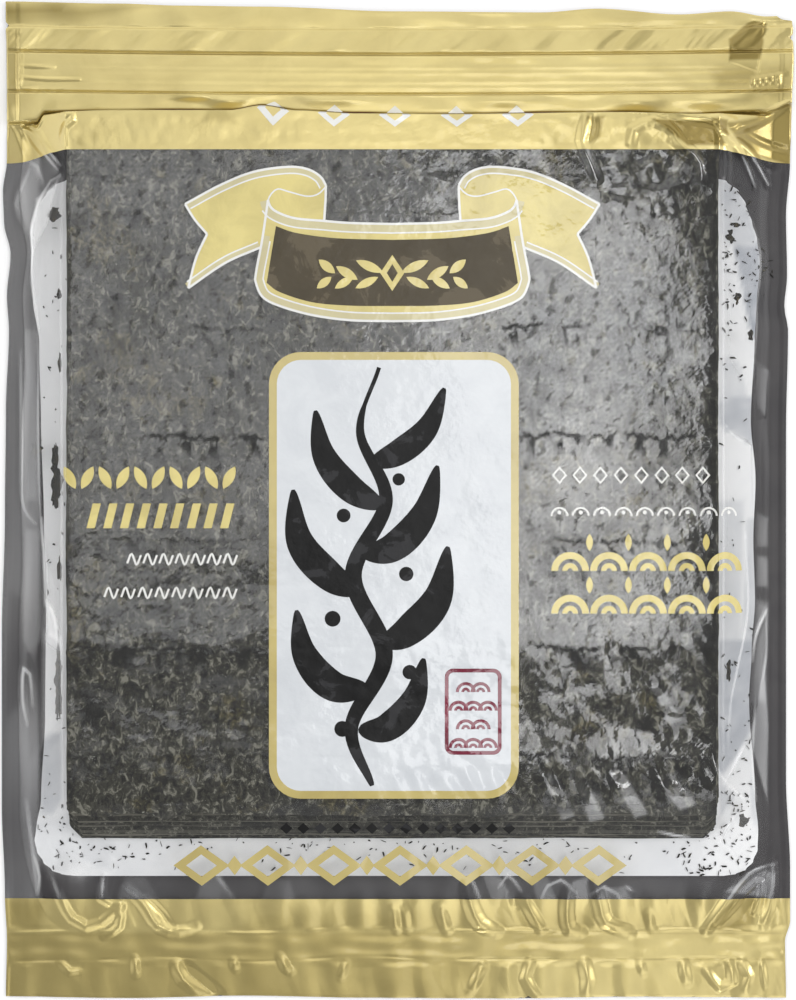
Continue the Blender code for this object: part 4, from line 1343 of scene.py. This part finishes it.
def nori_fibre():
    """Colour and height of pressed seaweed: dark, clouded, with olive spots, and pale curls that are partly
    its fibres and partly painted glints of the film over it.
    """
    tree, given, out = node_group(
        "nori_fibre", (("Vector", "NodeSocketVector", None), ("Fibres", "NodeSocketFloat", 1.0)),
        (("Color", "NodeSocketColor"), ("Height", "NodeSocketFloat")))
    where = given.outputs["Vector"]
    tall = node(tree, "Mapping", Vector=where, Scale=(1.0, 0.7, 1.0)).outputs[0]
    fine = noise(tree, tall, 430.0, 4.0, 0.75, 0.8)
    base = ramp(tree, fine, (0.40, (0.002, 0.002, 0.0015)), (0.47, (0.020, 0.019, 0.013)),
                (0.55, (0.038, 0.037, 0.027)), (0.62, (0.170, 0.166, 0.134)))
    clots = ramp(tree, noise(tree, tall, 130.0, 5.0, 0.62), (0.37, 0.9), (0.42, 0.0))
    base = mixed(tree, clots, base, (0.002, 0.002, 0.001))
    olive = ramp(tree, fine, (0.38, (0.003, 0.002, 0.001)), (0.50, (0.034, 0.029, 0.010)),
                 (0.64, (0.135, 0.115, 0.052)))
    warm = ramp(tree, noise(tree, where, 48.0, 6.0, 0.65), (0.56, 0.0), (0.62, 0.8))
    base = mixed(tree, warm, base, olive)
    # Pale curls: partly fibres of the seaweed, partly painted glints of the film above.
    curls = ramp(tree, noise(tree, where, 620.0, 2.0, 0.7, 3.2), (0.655, 0.0), (0.70, 1.0))
    lively = ramp(tree, noise(tree, where, 150.0, 3.0), (0.46, 0.1), (0.56, 1.0))
    fibre_glint = maths(tree, "MULTIPLY", maths(tree, "MULTIPLY", curls, lively), given.outputs["Fibres"])
    plug(tree, out.inputs["Color"], mixed(tree, fibre_glint, base, (0.27, 0.275, 0.235)))
    rough = noise(tree, where, 420.0, 4.0, 0.7)
    plug(tree, out.inputs["Height"], maths(tree, "MULTIPLY", rough, 0.3))


def placed_group(tree, name, **values):
    """A node group set into a tree, with its inputs by name."""
    return feed(tree, node(tree, "Group", node_tree=bpy.data.node_groups[name]), **values)


def new_material(name):
    """A material with an empty Principled shader, and the object's own coordinates."""
    mat = bpy.data.materials.new(name)
    mat.use_nodes = True
    tree = mat.node_tree
    tree.nodes.clear()
    out, shader = node(tree, "OutputMaterial"), node(tree, "BsdfPrincipled")
    tree.links.new(shader.outputs[0], out.inputs[0])
    return mat, tree, shader, node(tree, "TexCoord").outputs["Object"]


def painted(tree, name):
    """A number painted on the points of a mesh."""
    return node(tree, "Attribute", attribute_name=name).outputs["Fac"]


def bump(tree, height):
    """A normal from a height in millimetres."""
    return node(tree, "Bump", Height=height, Distance=MM).outputs[0]


def film_face(tree, where):
    """The film's normal, from its grain."""
    grain = placed_group(tree, "film_grain", Vector=where, Cling=painted(tree, "cling"))
    return bump(tree, grain.outputs["Height"])


def clear_film():
    """Clear film: a share of it mirrors, more at a glancing view, and the rest lets light through."""
    mat, tree, shader, where = new_material("clear_film")
    tint = ramp(tree, noise(tree, where, 40.0, 0.0), (0.3, (0.95, 0.96, 0.975)), (0.7, (0.98, 0.98, 0.98)))
    edge = maths(tree, "POWER", node(tree, "LayerWeight", Blend=0.5).outputs["Facing"], GLANCE_POWER)
    edge = maths(tree, "MULTIPLY", edge, 1.0 - FILM_MIRROR)
    feed(tree, shader, Base_Color=tint, Metallic=1.0,
         Roughness=maths(tree, "MULTIPLY_ADD", painted(tree, "haze"), FREE_ROUGH, FLAT_ROUGH),
         Alpha=maths(tree, "ADD", edge, painted(tree, "mirror")))
    return mat


def inked_film(name, light, dark, metal=0.0, rough=0.25, coat=1.0, size=60.0, gloss=0.5, sharp=0.0,
               shade=(0.36, 0.31, 0.14)):
    """Printed film: a cloudy tint under a glossy face, and a share of its dark tint for shade."""
    mat, tree, shader, where = new_material(name)
    tint = placed_group(tree, "mottle", Vector=where, Light=light, Dark=dark, Size=size, Sharp=sharp)
    shaded = tuple(part * c for part, c in zip(shade, dark))
    face = film_face(tree, where)
    feed(tree, shader, Base_Color=mixed(tree, painted(tree, "dark"), tint.outputs["Color"], shaded),
         Metallic=metal, Roughness=rough, Specular_IOR_Level=gloss, Coat_Weight=coat,
         Coat_Roughness=0.04, Normal=face, Coat_Normal=face)
    return mat


def nori_material(name, fibres_and_glints):
    """Pressed seaweed, darker in its marks and in painted shade, and paler on the cut edge of some sheets."""
    mat, tree, shader, where = new_material(name)
    fibre = placed_group(tree, "nori_fibre", Vector=where, Fibres=fibres_and_glints)
    body = mixed(tree, painted(tree, "marks"), fibre.outputs["Color"], (0.003, 0.003, 0.002))
    feed(tree, shader, Base_Color=mixed(tree, painted(tree, "tone"), body, (0.13, 0.125, 0.10)),
         Roughness=0.5, Normal=bump(tree, fibre.outputs["Height"]))
    return mat


def crumb_material():
    """Small bits of nori: nearly black, with brown and olive spots."""
    mat, tree, shader, where = new_material("nori_crumb")
    spots = ramp(tree, noise(tree, where, 520.0, 4.0, 0.7), (0.42, (0.002, 0.002, 0.001)),
                 (0.56, (0.012, 0.009, 0.003)), (0.68, (0.060, 0.046, 0.014)))
    feed(tree, shader, Base_Color=spots, Roughness=0.7, Specular_IOR_Level=0.2)
    return mat


def gold_edge(u):
    """Where the header's gold stops: lower at the sides, where the film falls away."""
    fall = np.maximum(step(STACK_LEFT + 2.0, -HALF_W, u), step(STACK_RIGHT - 1.0, HALF_W, u))
    return GOLD_HEAD - GOLD_HEAD_DROP * fall


def banded(u_lines, share, low, high):
    """Grid of u and v between two lines across the pattern."""
    u, t = np.meshgrid(u_lines, share)
    low = low(u) if callable(low) else low
    high = high(u) if callable(high) else high
    return u, low + (high - low) * t


def film_part(name, material, grid, rules):
    """One part of the front film, on a grid of the pattern."""
    return new_piece(name, sheet_mesh(name, *grid, front_height, rules), material)


def front_film(clear, gold):
    """The clear window in three strips and the two gold ends, all on the same lines."""
    near_left, near_right = (-HALF_W, -116.2, 2), (116.2, HALF_W, 2)
    columns = lines(near_left, (-116.2, -92.0, 56), (-92.0, 88.0, 330), (88.0, 116.2, 70), near_right)
    strips = {"low": lines((0.0, 0.36, 142)), "middle": lines((0.36, 0.70, 148)),
              "high": lines((0.70, 0.955, 112), (0.955, 1.0, 32))}
    clear_rules = {"mirror": mirror_share, "haze": free_share}
    window = [film_part("front_film_window_" + name, clear,
                        banded(columns, rows, GOLD_FOOT, gold_edge), clear_rules)
              for name, rows in strips.items()]
    gold_rules = {"cling": cling_share, "dark": dark_share}
    fine = lines(near_left, (-116.2, -92.0, 74), (-92.0, 50.0, 230), (50.0, 116.2, 230), near_right)
    rows = lines((0.0, 0.23, 34), (0.23, 0.28, 26), (0.28, 0.985, 106), (0.985, 1.0, 3))
    head = film_part("front_film_header", gold, banded(fine, rows, gold_edge, HALF_H), gold_rules)
    even = lines(near_left, (-116.2, 116.2, 560), near_right)
    rows = lines((0.0, 0.02, 3), (0.02, 1.0, 100))
    foot = film_part("front_film_foot", gold, banded(even, rows, -HALF_H, GOLD_FOOT), gold_rules)
    return window, head, foot


def back_film(grey):
    """The grey back film, flat on the table and shut against the front at the seals."""
    columns = lines((-HALF_W, -HALF_W + 12.0, 16), (-HALF_W + 12.0, HALF_W - 12.0, 90),
                    (HALF_W - 12.0, HALF_W, 16))
    rows = lines((-HALF_H, -120.0, 30), (-120.0, 130.0, 110), (130.0, HALF_H, 20))
    u, v = np.meshgrid(columns, rows)
    return new_piece("back_film", shell_mesh("back_film", u, v, back_height, BACK_THICK), grey)


def white_panel(white):
    """The white print on the back film, between its two half outlines."""
    foot, head = PANEL_LEFT[0][0], PANEL_LEFT[-1][0]
    rows = lines((foot, -102.0, 36), (-102.0, 86.0, 110), (86.0, head, 36))
    share = lines((0.0, 0.1, 20), (0.1, 0.9, 60), (0.9, 1.0, 20))
    t, v = np.meshgrid(share, rows)
    left, right = run(PANEL_LEFT, v), run(PANEL_RIGHT, v)
    rules = {"cling": cling_share, "dark": panel_shade}
    mesh = sheet_mesh("back_panel_white", left + (right - left) * t, v, back_height, rules, PANEL_LIFT)
    return new_piece("back_panel_white", mesh, white)


# The sheets and what has broken off them.
def ragged(count, rng):
    """A closed run of small random steps, smooth at the join."""
    turn = np.linspace(0.0, 2.0 * math.pi, count, endpoint=False)
    out = np.zeros(count)
    for pace in (5, 11, 23, 47, 90, 140):
        out += rng.normal() * np.cos(pace * turn + rng.uniform(0, 6.28)) / pace ** 0.35
    return out * SHEET_WOBBLE


def sheet_outline(left, right, foot, head, rng, corner):
    """Outline of one sheet with clipped corners and an uneven edge."""
    spots = []
    for x0, y0, x1, y1 in ((left, foot, right, foot), (right, foot, right, head),
                           (right, head, left, head), (left, head, left, foot)):
        length = math.hypot(x1 - x0, y1 - y0)
        dx, dy = (x1 - x0) / length, (y1 - y0) / length
        steps = int((length - 2 * corner) / SHEET_PITCH)
        for i in range(steps + 1):
            along = corner + (length - 2 * corner) * i / steps
            spots.append((x0 + dx * along, y0 + dy * along, dy, -dx))
    wobble = ragged(len(spots), rng)
    return [(x + nx * w, y + ny * w) for (x, y, nx, ny), w in zip(spots, wobble)]


def slab(verts, faces, outline, low, high):
    """A closed slab between two heights, added to the lists."""
    count, base = len(outline), len(verts)
    verts += [(x, y, low) for x, y in outline]
    verts += [(x, y, high) for x, y in outline]
    for k in range(count):
        n = (k + 1) % count
        faces.append((base + k, base + n, base + count + n, base + count + k))
    faces.append(tuple(base + k for k in range(count - 1, -1, -1)))
    faces.append(tuple(base + count + k for k in range(count)))


def mesh_from(name, verts, faces):
    """A mesh from points in millimetres."""
    mesh = bpy.data.meshes.new(name)
    mesh.from_pydata([(x * MM, y * MM, z * MM) for x, y, z in verts], [], faces)
    mesh.update()
    return mesh


def nori_stack(nori):
    """All the sheets below the top one, each a thin slab with its own edge."""
    rng = np.random.default_rng(5)
    thick = (SHEET_TOP - STACK_BASE) / SHEETS
    verts, faces, tones = [], [], []
    along = np.linspace(GOLD_FOOT + 0.4, STACK_FOOT + 8.6, 300)
    fall = SEAL_TOP + tent(np.zeros_like(along), along)
    steps = np.cumsum(rng.exponential(size=SHEETS) ** 2.0)
    steps = (steps - steps[0]) / (steps[-1] - steps[0])
    for i in range(SHEETS - 1):
        share = i / (SHEETS - 1)
        foot = LOW_FOOT + (STACK_FOOT - LOW_FOOT) * (0.3 * share + 0.7 * steps[i])
        foot = max(foot, float(np.interp(STACK_BASE + thick * (i + 1) + UNDER_FILM, fall, along)))
        head = SHEETS_HEAD + 1.4 * share + rng.normal(0.0, 0.2)
        left = STACK_LEFT + 0.6 + rng.normal(0.0, 0.3)
        right = STACK_RIGHT - 0.5 + rng.normal(0.0, 0.3)
        outline = sheet_outline(left, right, foot, head, rng,
                                SHEET_CORNER + 1.8 * (1.0 - share))
        low = STACK_BASE + thick * i
        slab(verts, faces, outline, low + SHEET_GAP, low + thick)
        tones += [float(rng.choice(EDGE_TONES))] * (len(verts) - len(tones))
    mesh = mesh_from("nori_stack", verts, faces)
    paint(mesh, "tone", tones)
    return new_piece("nori_stack", mesh, nori)


def top_sheet_height(u, v):
    """The top sheet's face, a little uneven, and always under the film."""
    relief = 0.07 * waves(u, v, 9.0, 31) + 0.04 * waves(u, v, 4.0, 32) - 0.10 * mark_rows(u, v)
    return np.minimum(SHEET_TOP + relief, front_height(u, v) - TOP_UNDER_FILM)


def top_sheet(nori):
    """The one sheet that the window shows, with its pressed marks and painted shade along its right edge."""
    rows, share = lines((0.0, 1.0, 290)), lines((0.0, 1.0, 270))
    t, s = np.meshgrid(share, rows)
    left = STACK_LEFT + 0.7 + 0.2 * waves(s * SHEET_LONG, s * 0.0, 7.0, 41)
    right = STACK_RIGHT - 0.8 + 0.2 * waves(s * SHEET_LONG, s * 0.0, 6.0, 42)
    foot = TOP_SHEET_FOOT + 0.4 * waves(t * SHEET_WIDE, t * 0.0, 16.0, 43)
    u = left + (right - left) * t
    v = foot + (TOP_SHEET_HEAD - foot) * s
    mesh = shell_mesh("nori_top_sheet", u, v, top_sheet_height, TOP_SHEET_THICK)
    # Painted shade: the sheet's right edge is darkened in the same attribute as the marks.
    edge = step(STACK_RIGHT - 4.6, STACK_RIGHT - 3.8, u + 0.9 * turbulence(u * 0.0, v, 16.0, 81))
    marks = np.maximum(mark_rows(u, v), 0.8 * edge).ravel()
    paint(mesh, "marks", np.concatenate((marks, marks)))
    return new_piece("nori_top_sheet", mesh, nori)


# Crumbs: half sizes of the smallest and the largest, how high they lie, and their
# clusters as (u0, u1, v0, v1, how many).
CRUMB_SMALLEST = (0.12, 0.08, 0.04)
CRUMB_LARGEST = (1.1, 0.27, 0.12)
CRUMB_LIFT = 0.34
CRUMBS = (
    (95.6, 106.0, 56.0, 93.0, 60),
    (95.6, 112.0, 60.0, 74.0, 30),
    (95.4, 106.0, -95.0, -38.0, 46),
    (84.0, 105.0, -111.5, -97.0, 76),
    (95.0, 104.0, -100.0, -84.0, 26),
    (-107.0, -92.0, -100.0, -80.0, 34),
    (-104.0, -78.0, -108.5, -99.8, 42),
    (-78.0, 84.0, -105.5, -99.9, 70),
    (-78.0, 84.0, -111.0, -99.9, 26),
    (-106.0, -97.4, -80.0, 90.0, 34),
    (95.0, 103.5, -38.0, 56.0, 26),
)

# Flakes as (u, v, wide, tall), and how high they may lie.
FLAKE_TOP = 12.6
FLAKES = (
    (-100.3, 83.5, 3.8, 4.2), (-99.9, 6.8, 3.0, 19.0), (-99.0, -52.5, 1.9, 25.0),
    (-98.8, 60.0, 1.4, 3.0), (-98.6, 40.0, 1.2, 6.0), (-98.6, -20.0, 1.3, 7.0),
    (97.0, 77.0, 2.6, 4.0), (98.6, 80.5, 3.0, 1.4), (99.2, 59.0, 1.6, 3.4), (103.6, 48.4, 1.8, 3.2),
    (101.0, -94.0, 2.6, 4.0), (96.4, -50.0, 1.6, 6.0), (-106.6, 14.6, 3.4, 4.2),
)


def crumb_nodes():
    """Small flat grains on every point, each with its own size, turn and uneven shape."""
    tree, given, out = node_group(
        "crumbs", (("Geometry", "NodeSocketGeometry", None), ("Smallest", "NodeSocketVector", CRUMB_SMALLEST),
                   ("Largest", "NodeSocketVector", CRUMB_LARGEST)),
        (("Geometry", "NodeSocketGeometry"),), "GeometryNodeTree")
    tree.is_modifier = True

    def chance(seed, low, high):
        made = tree.nodes.new("FunctionNodeRandomValue")
        made.data_type = "FLOAT_VECTOR"
        made.inputs["Seed"].default_value = seed
        plug(tree, made.inputs[0], low)
        plug(tree, made.inputs[1], high)
        return made.outputs[0]

    def stage(kind, **values):
        return feed(tree, tree.nodes.new("GeometryNode" + kind), **values).outputs[0]

    size = chance(3, given.outputs["Smallest"], given.outputs["Largest"])
    size = node(tree, "VectorMath", operation="SCALE", Vector=size, Scale=MM).outputs[0]
    turn = chance(4, (-0.1, -0.1, 0.0), (0.1, 0.1, 2.0 * math.pi))
    jog = chance(5, (-0.35, -0.35, -0.2), (0.35, 0.35, 0.2))
    grain = stage("SetPosition", Geometry=stage("MeshIcoSphere", Radius=1.0, Subdivisions=1), Offset=jog)
    spread = stage("InstanceOnPoints", Points=given.outputs["Geometry"], Instance=grain, Rotation=turn,
                   Scale=size)
    plug(tree, out.inputs[0], stage("RealizeInstances", Geometry=spread))
    return tree


def crumbs(nori):
    """Loose crumbs on the back film, in the clusters where they have gathered."""
    rng = np.random.default_rng(77)
    spots = []
    for u0, u1, v0, v1, count in CRUMBS:
        u, v = rng.uniform(u0, u1, count), rng.uniform(v0, v1, count)
        spots += list(zip(u, v))
    u, v = np.array(spots).T
    mesh = bpy.data.meshes.new("crumb_spots")
    mesh.from_pydata(points(u, v, back_height, CRUMB_LIFT).tolist(), [], [])
    seedbed = new_piece("crumb_spots", mesh)
    seedbed.modifiers.new("crumbs", "NODES").node_group = crumb_nodes()
    bpy.context.view_layer.update()
    solid = bpy.data.meshes.new_from_object(seedbed.evaluated_get(bpy.context.evaluated_depsgraph_get()))
    bpy.data.objects.remove(seedbed)
    solid.name = "nori_crumbs"
    solid.materials.clear()
    return new_piece("nori_crumbs", solid, nori)


def flakes(nori):
    """Ragged bits along the stack's edges, held up under the film."""
    rng = np.random.default_rng(9)
    verts, faces = [], []
    for u, v, wide, tall in FLAKES:
        count = max(20, int((wide + tall) * 3.6))
        turn = np.linspace(0.0, 2.0 * math.pi, count, endpoint=False)
        uneven = rng.normal(size=count)
        uneven = 0.5 * (uneven + np.roll(uneven, 1))
        bent = 0.2 * np.cos(3 * turn + u) + 0.16 * np.cos(5 * turn + v)
        x = u + wide / 2 * (1.0 + 0.38 * uneven + bent) * np.cos(turn)
        y = v + tall / 2 * (1.0 + 0.05 * uneven + 0.5 * bent) * np.sin(turn)
        base = len(verts)
        top = np.minimum(film_height(x, y) - 0.4, FLAKE_TOP)
        centre = min(float(film_height(np.array([u]), np.array([v]))[0]) - 0.35, FLAKE_TOP + 0.1)
        verts += [*zip(x, y, top), (u, v, centre)]
        verts += [*zip(x, y, top - 0.2), (u, v, centre - 0.25)]
        half = count + 1
        for k in range(count):
            n = (k + 1) % count
            faces.append((base + k, base + n, base + count))
            faces.append((base + half + n, base + half + k, base + half + count))
            faces.append((base + n, base + k, base + half + k, base + half + n))
    return new_piece("nori_flakes", mesh_from("nori_flakes", verts, faces), nori)


def floor():
    """The white table, a stage that isn't part of the pouch."""
    mat, tree, shader, where = new_material("floor_white")
    cloud = noise(tree, where, 3.0, 2.0)
    feed(tree, shader, Base_Color=ramp(tree, cloud, (0.3, 0.89), (0.7, 0.9)), Roughness=0.8,
         Emission_Color=(1.0, 1.0, 1.0), Emission_Strength=0.16)
    mesh = bpy.data.meshes.new("floor")
    far = 3.0
    mesh.from_pydata([(-far, -far, 0), (far, -far, 0), (far, far, 0), (-far, far, 0)], [], [(0, 1, 2, 3)])
    new_piece("floor", mesh, mat)


# Camera: lens and sensor in millimetres, height in metres.
LENS = 109.8
SENSOR = 36.0
CAMERA_UP = 0.9

# Studio in metres: panels overhead that the film mirrors, as (x0, x1, y0, y1, brightness),
# and side lights as (x, y, z, wide, tall, brightness).
PANEL_UP = 1.8
PANELS = (
    (0.02, 0.262, -0.30, 0.31, 3.6),
    (-0.37, 0.02, -0.10, 0.36, 1.2),
    (-0.37, 0.36, 0.37, 1.10, 0.95),
    (-0.37, 0.02, -0.30, -0.19, 0.5),
    (0.05, 0.80, -2.60, -0.62, 1.5),
    (0.16, 0.50, -0.60, -0.32, 0.8),
)
STRIPS = (
    (-1.5, 0.2, 1.3, 0.14, 1.2, 3.0),
    (1.6, 0.2, 1.0, 0.30, 1.0, 8.0),
    (0.1, -1.9, 0.7, 1.3, 0.12, 10.0),
)


def area_light(name, at, wide, tall, glow):
    """A lamp that faces down, unseen by the camera, as bright as its size and glow make it."""
    data = bpy.data.lights.new(name, "AREA")
    data.shape = "RECTANGLE"
    data.size, data.size_y = wide, tall
    data.energy = glow * math.pi * wide * tall
    ob = bpy.data.objects.new(name, data)
    bpy.context.scene.collection.objects.link(ob)
    ob.location = at
    ob.visible_camera = False
    return ob


def studio():
    """The overhead panels, the side lights, and a sky that is bright at the sides."""
    for i, (x0, x1, y0, y1, glow) in enumerate(PANELS):
        area_light(f"overhead_{i}", ((x0 + x1) / 2, (y0 + y1) / 2, PANEL_UP), x1 - x0, y1 - y0, glow)
    for i, (*at, wide, tall, glow) in enumerate(STRIPS):
        lamp = area_light(f"side_{i}", at, wide, tall, glow)
        lamp.rotation_euler = (-Vector(at)).to_track_quat("-Z", "Y").to_euler()
    world = bpy.data.worlds.new("studio")
    bpy.context.scene.world = world
    world.use_nodes = True
    tree = world.node_tree
    tree.nodes.clear()
    toward = node(tree, "SeparateXYZ", Vector=node(tree, "TexCoord").outputs["Generated"])
    up, front = toward.outputs["Z"], maths(tree, "MULTIPLY", toward.outputs["Y"], -1.0)
    glow = ramp(tree, up, (0.0, 0.7), (0.30, 1.25), (0.78, 1.15), (0.95, 0.12))
    front = ramp(tree, front, (0.24, 1.0), (0.46, 0.22))
    side = mixed(tree, ramp(tree, up, (0.30, 0.0), (0.48, 1.0)), (1.0, 1.0, 1.0), front)
    sky = node(tree, "Background", Color=mixed(tree, 1.0, glow, side, "MULTIPLY"))
    tree.links.new(sky.outputs[0], node(tree, "OutputWorld").inputs[0])


def camera():
    """A long lens straight above the pouch."""
    data = bpy.data.cameras.new("camera")
    data.lens = LENS
    data.sensor_width = SENSOR
    ob = bpy.data.objects.new("camera", data)
    ob.location = (0.0, 0.0, CAMERA_UP)
    bpy.context.scene.collection.objects.link(ob)
    bpy.context.scene.camera = ob


# Printed film by name: its light and its dark tint, and how it differs from plain ink.
INKS = {
    "gold_foil": ((0.72, 0.60, 0.255), (0.65, 0.535, 0.22), {"metal": 0.75, "rough": 0.3, "coat": 0.4}),
    "gold_ink": ((0.70, 0.59, 0.20), (0.55, 0.455, 0.145), {}),
    "gold_shade": ((0.60, 0.54, 0.30), (0.52, 0.46, 0.25), {}),
    "frame_gold": ((0.56, 0.46, 0.17), (0.46, 0.37, 0.13), {"size": 30.0}),
    "white_ink": ((0.80, 0.80, 0.77), (0.72, 0.72, 0.69), {}),
    "plaque_white": ((0.665, 0.69, 0.715), (0.61, 0.635, 0.665), {"size": 90.0, "coat": 0.7}),
    "brown_ink": ((0.105, 0.083, 0.048), (0.052, 0.039, 0.018),
                  {"coat": 0.0, "gloss": 0.4, "size": 75.0, "sharp": 0.7}),
    "black_ink": ((0.032, 0.032, 0.034), (0.010, 0.010, 0.010),
                  {"coat": 0.0, "gloss": 0.14, "size": 110.0, "sharp": 0.8}),
    "red_ink": ((0.21, 0.012, 0.040), (0.15, 0.008, 0.028), {}),
    "back_grey": ((0.062, 0.058, 0.060), (0.048, 0.045, 0.048), {"coat": 0.0, "gloss": 0.2}),
    "panel_white": ((0.95, 0.955, 0.96), (0.91, 0.918, 0.93), {"coat": 0.1, "shade": (0.52, 0.54, 0.58)}),
}


def dress():
    """All pieces, each riding on the root body in the pouch's place."""
    film_grain()
    mottle()
    nori_fibre()
    clear = clear_film()
    ink = {name: inked_film(name, light, dark, **other) for name, (light, dark, other) in INKS.items()}
    gold, frame_gold, white, black = (ink[name] for name in ("gold_ink", "frame_gold", "white_ink",
                                                             "black_ink"))
    crumb_nori = crumb_material()
    window, head, foot = front_film(clear, ink["gold_foil"])
    by_slot = (
        ("window_film", window),
        ("pouch_film", (head, foot)),
        ("back_film", (back_film(ink["back_grey"]), white_panel(ink["panel_white"]))),
        ("nori", (nori_stack(nori_material("nori_edge", 0.35)), top_sheet(nori_material("nori_sheet", 1.0)),
                  crumbs(crumb_nori), flakes(crumb_nori))),
        ("print_ink", (*ribbon(gold, ink["gold_shade"], white, ink["brown_ink"]),
                       *plaque(frame_gold, ink["plaque_white"], black, ink["red_ink"]),
                       *side_ornaments(gold, white), *end_ornaments(frame_gold, white, black))),
    )
    for slot, pieces in by_slot:
        for piece in pieces:
            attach(piece, "root")
            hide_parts("pouch")


floor()
studio()
camera()
dress()
bpy.context.scene.view_settings.view_transform = "Standard"
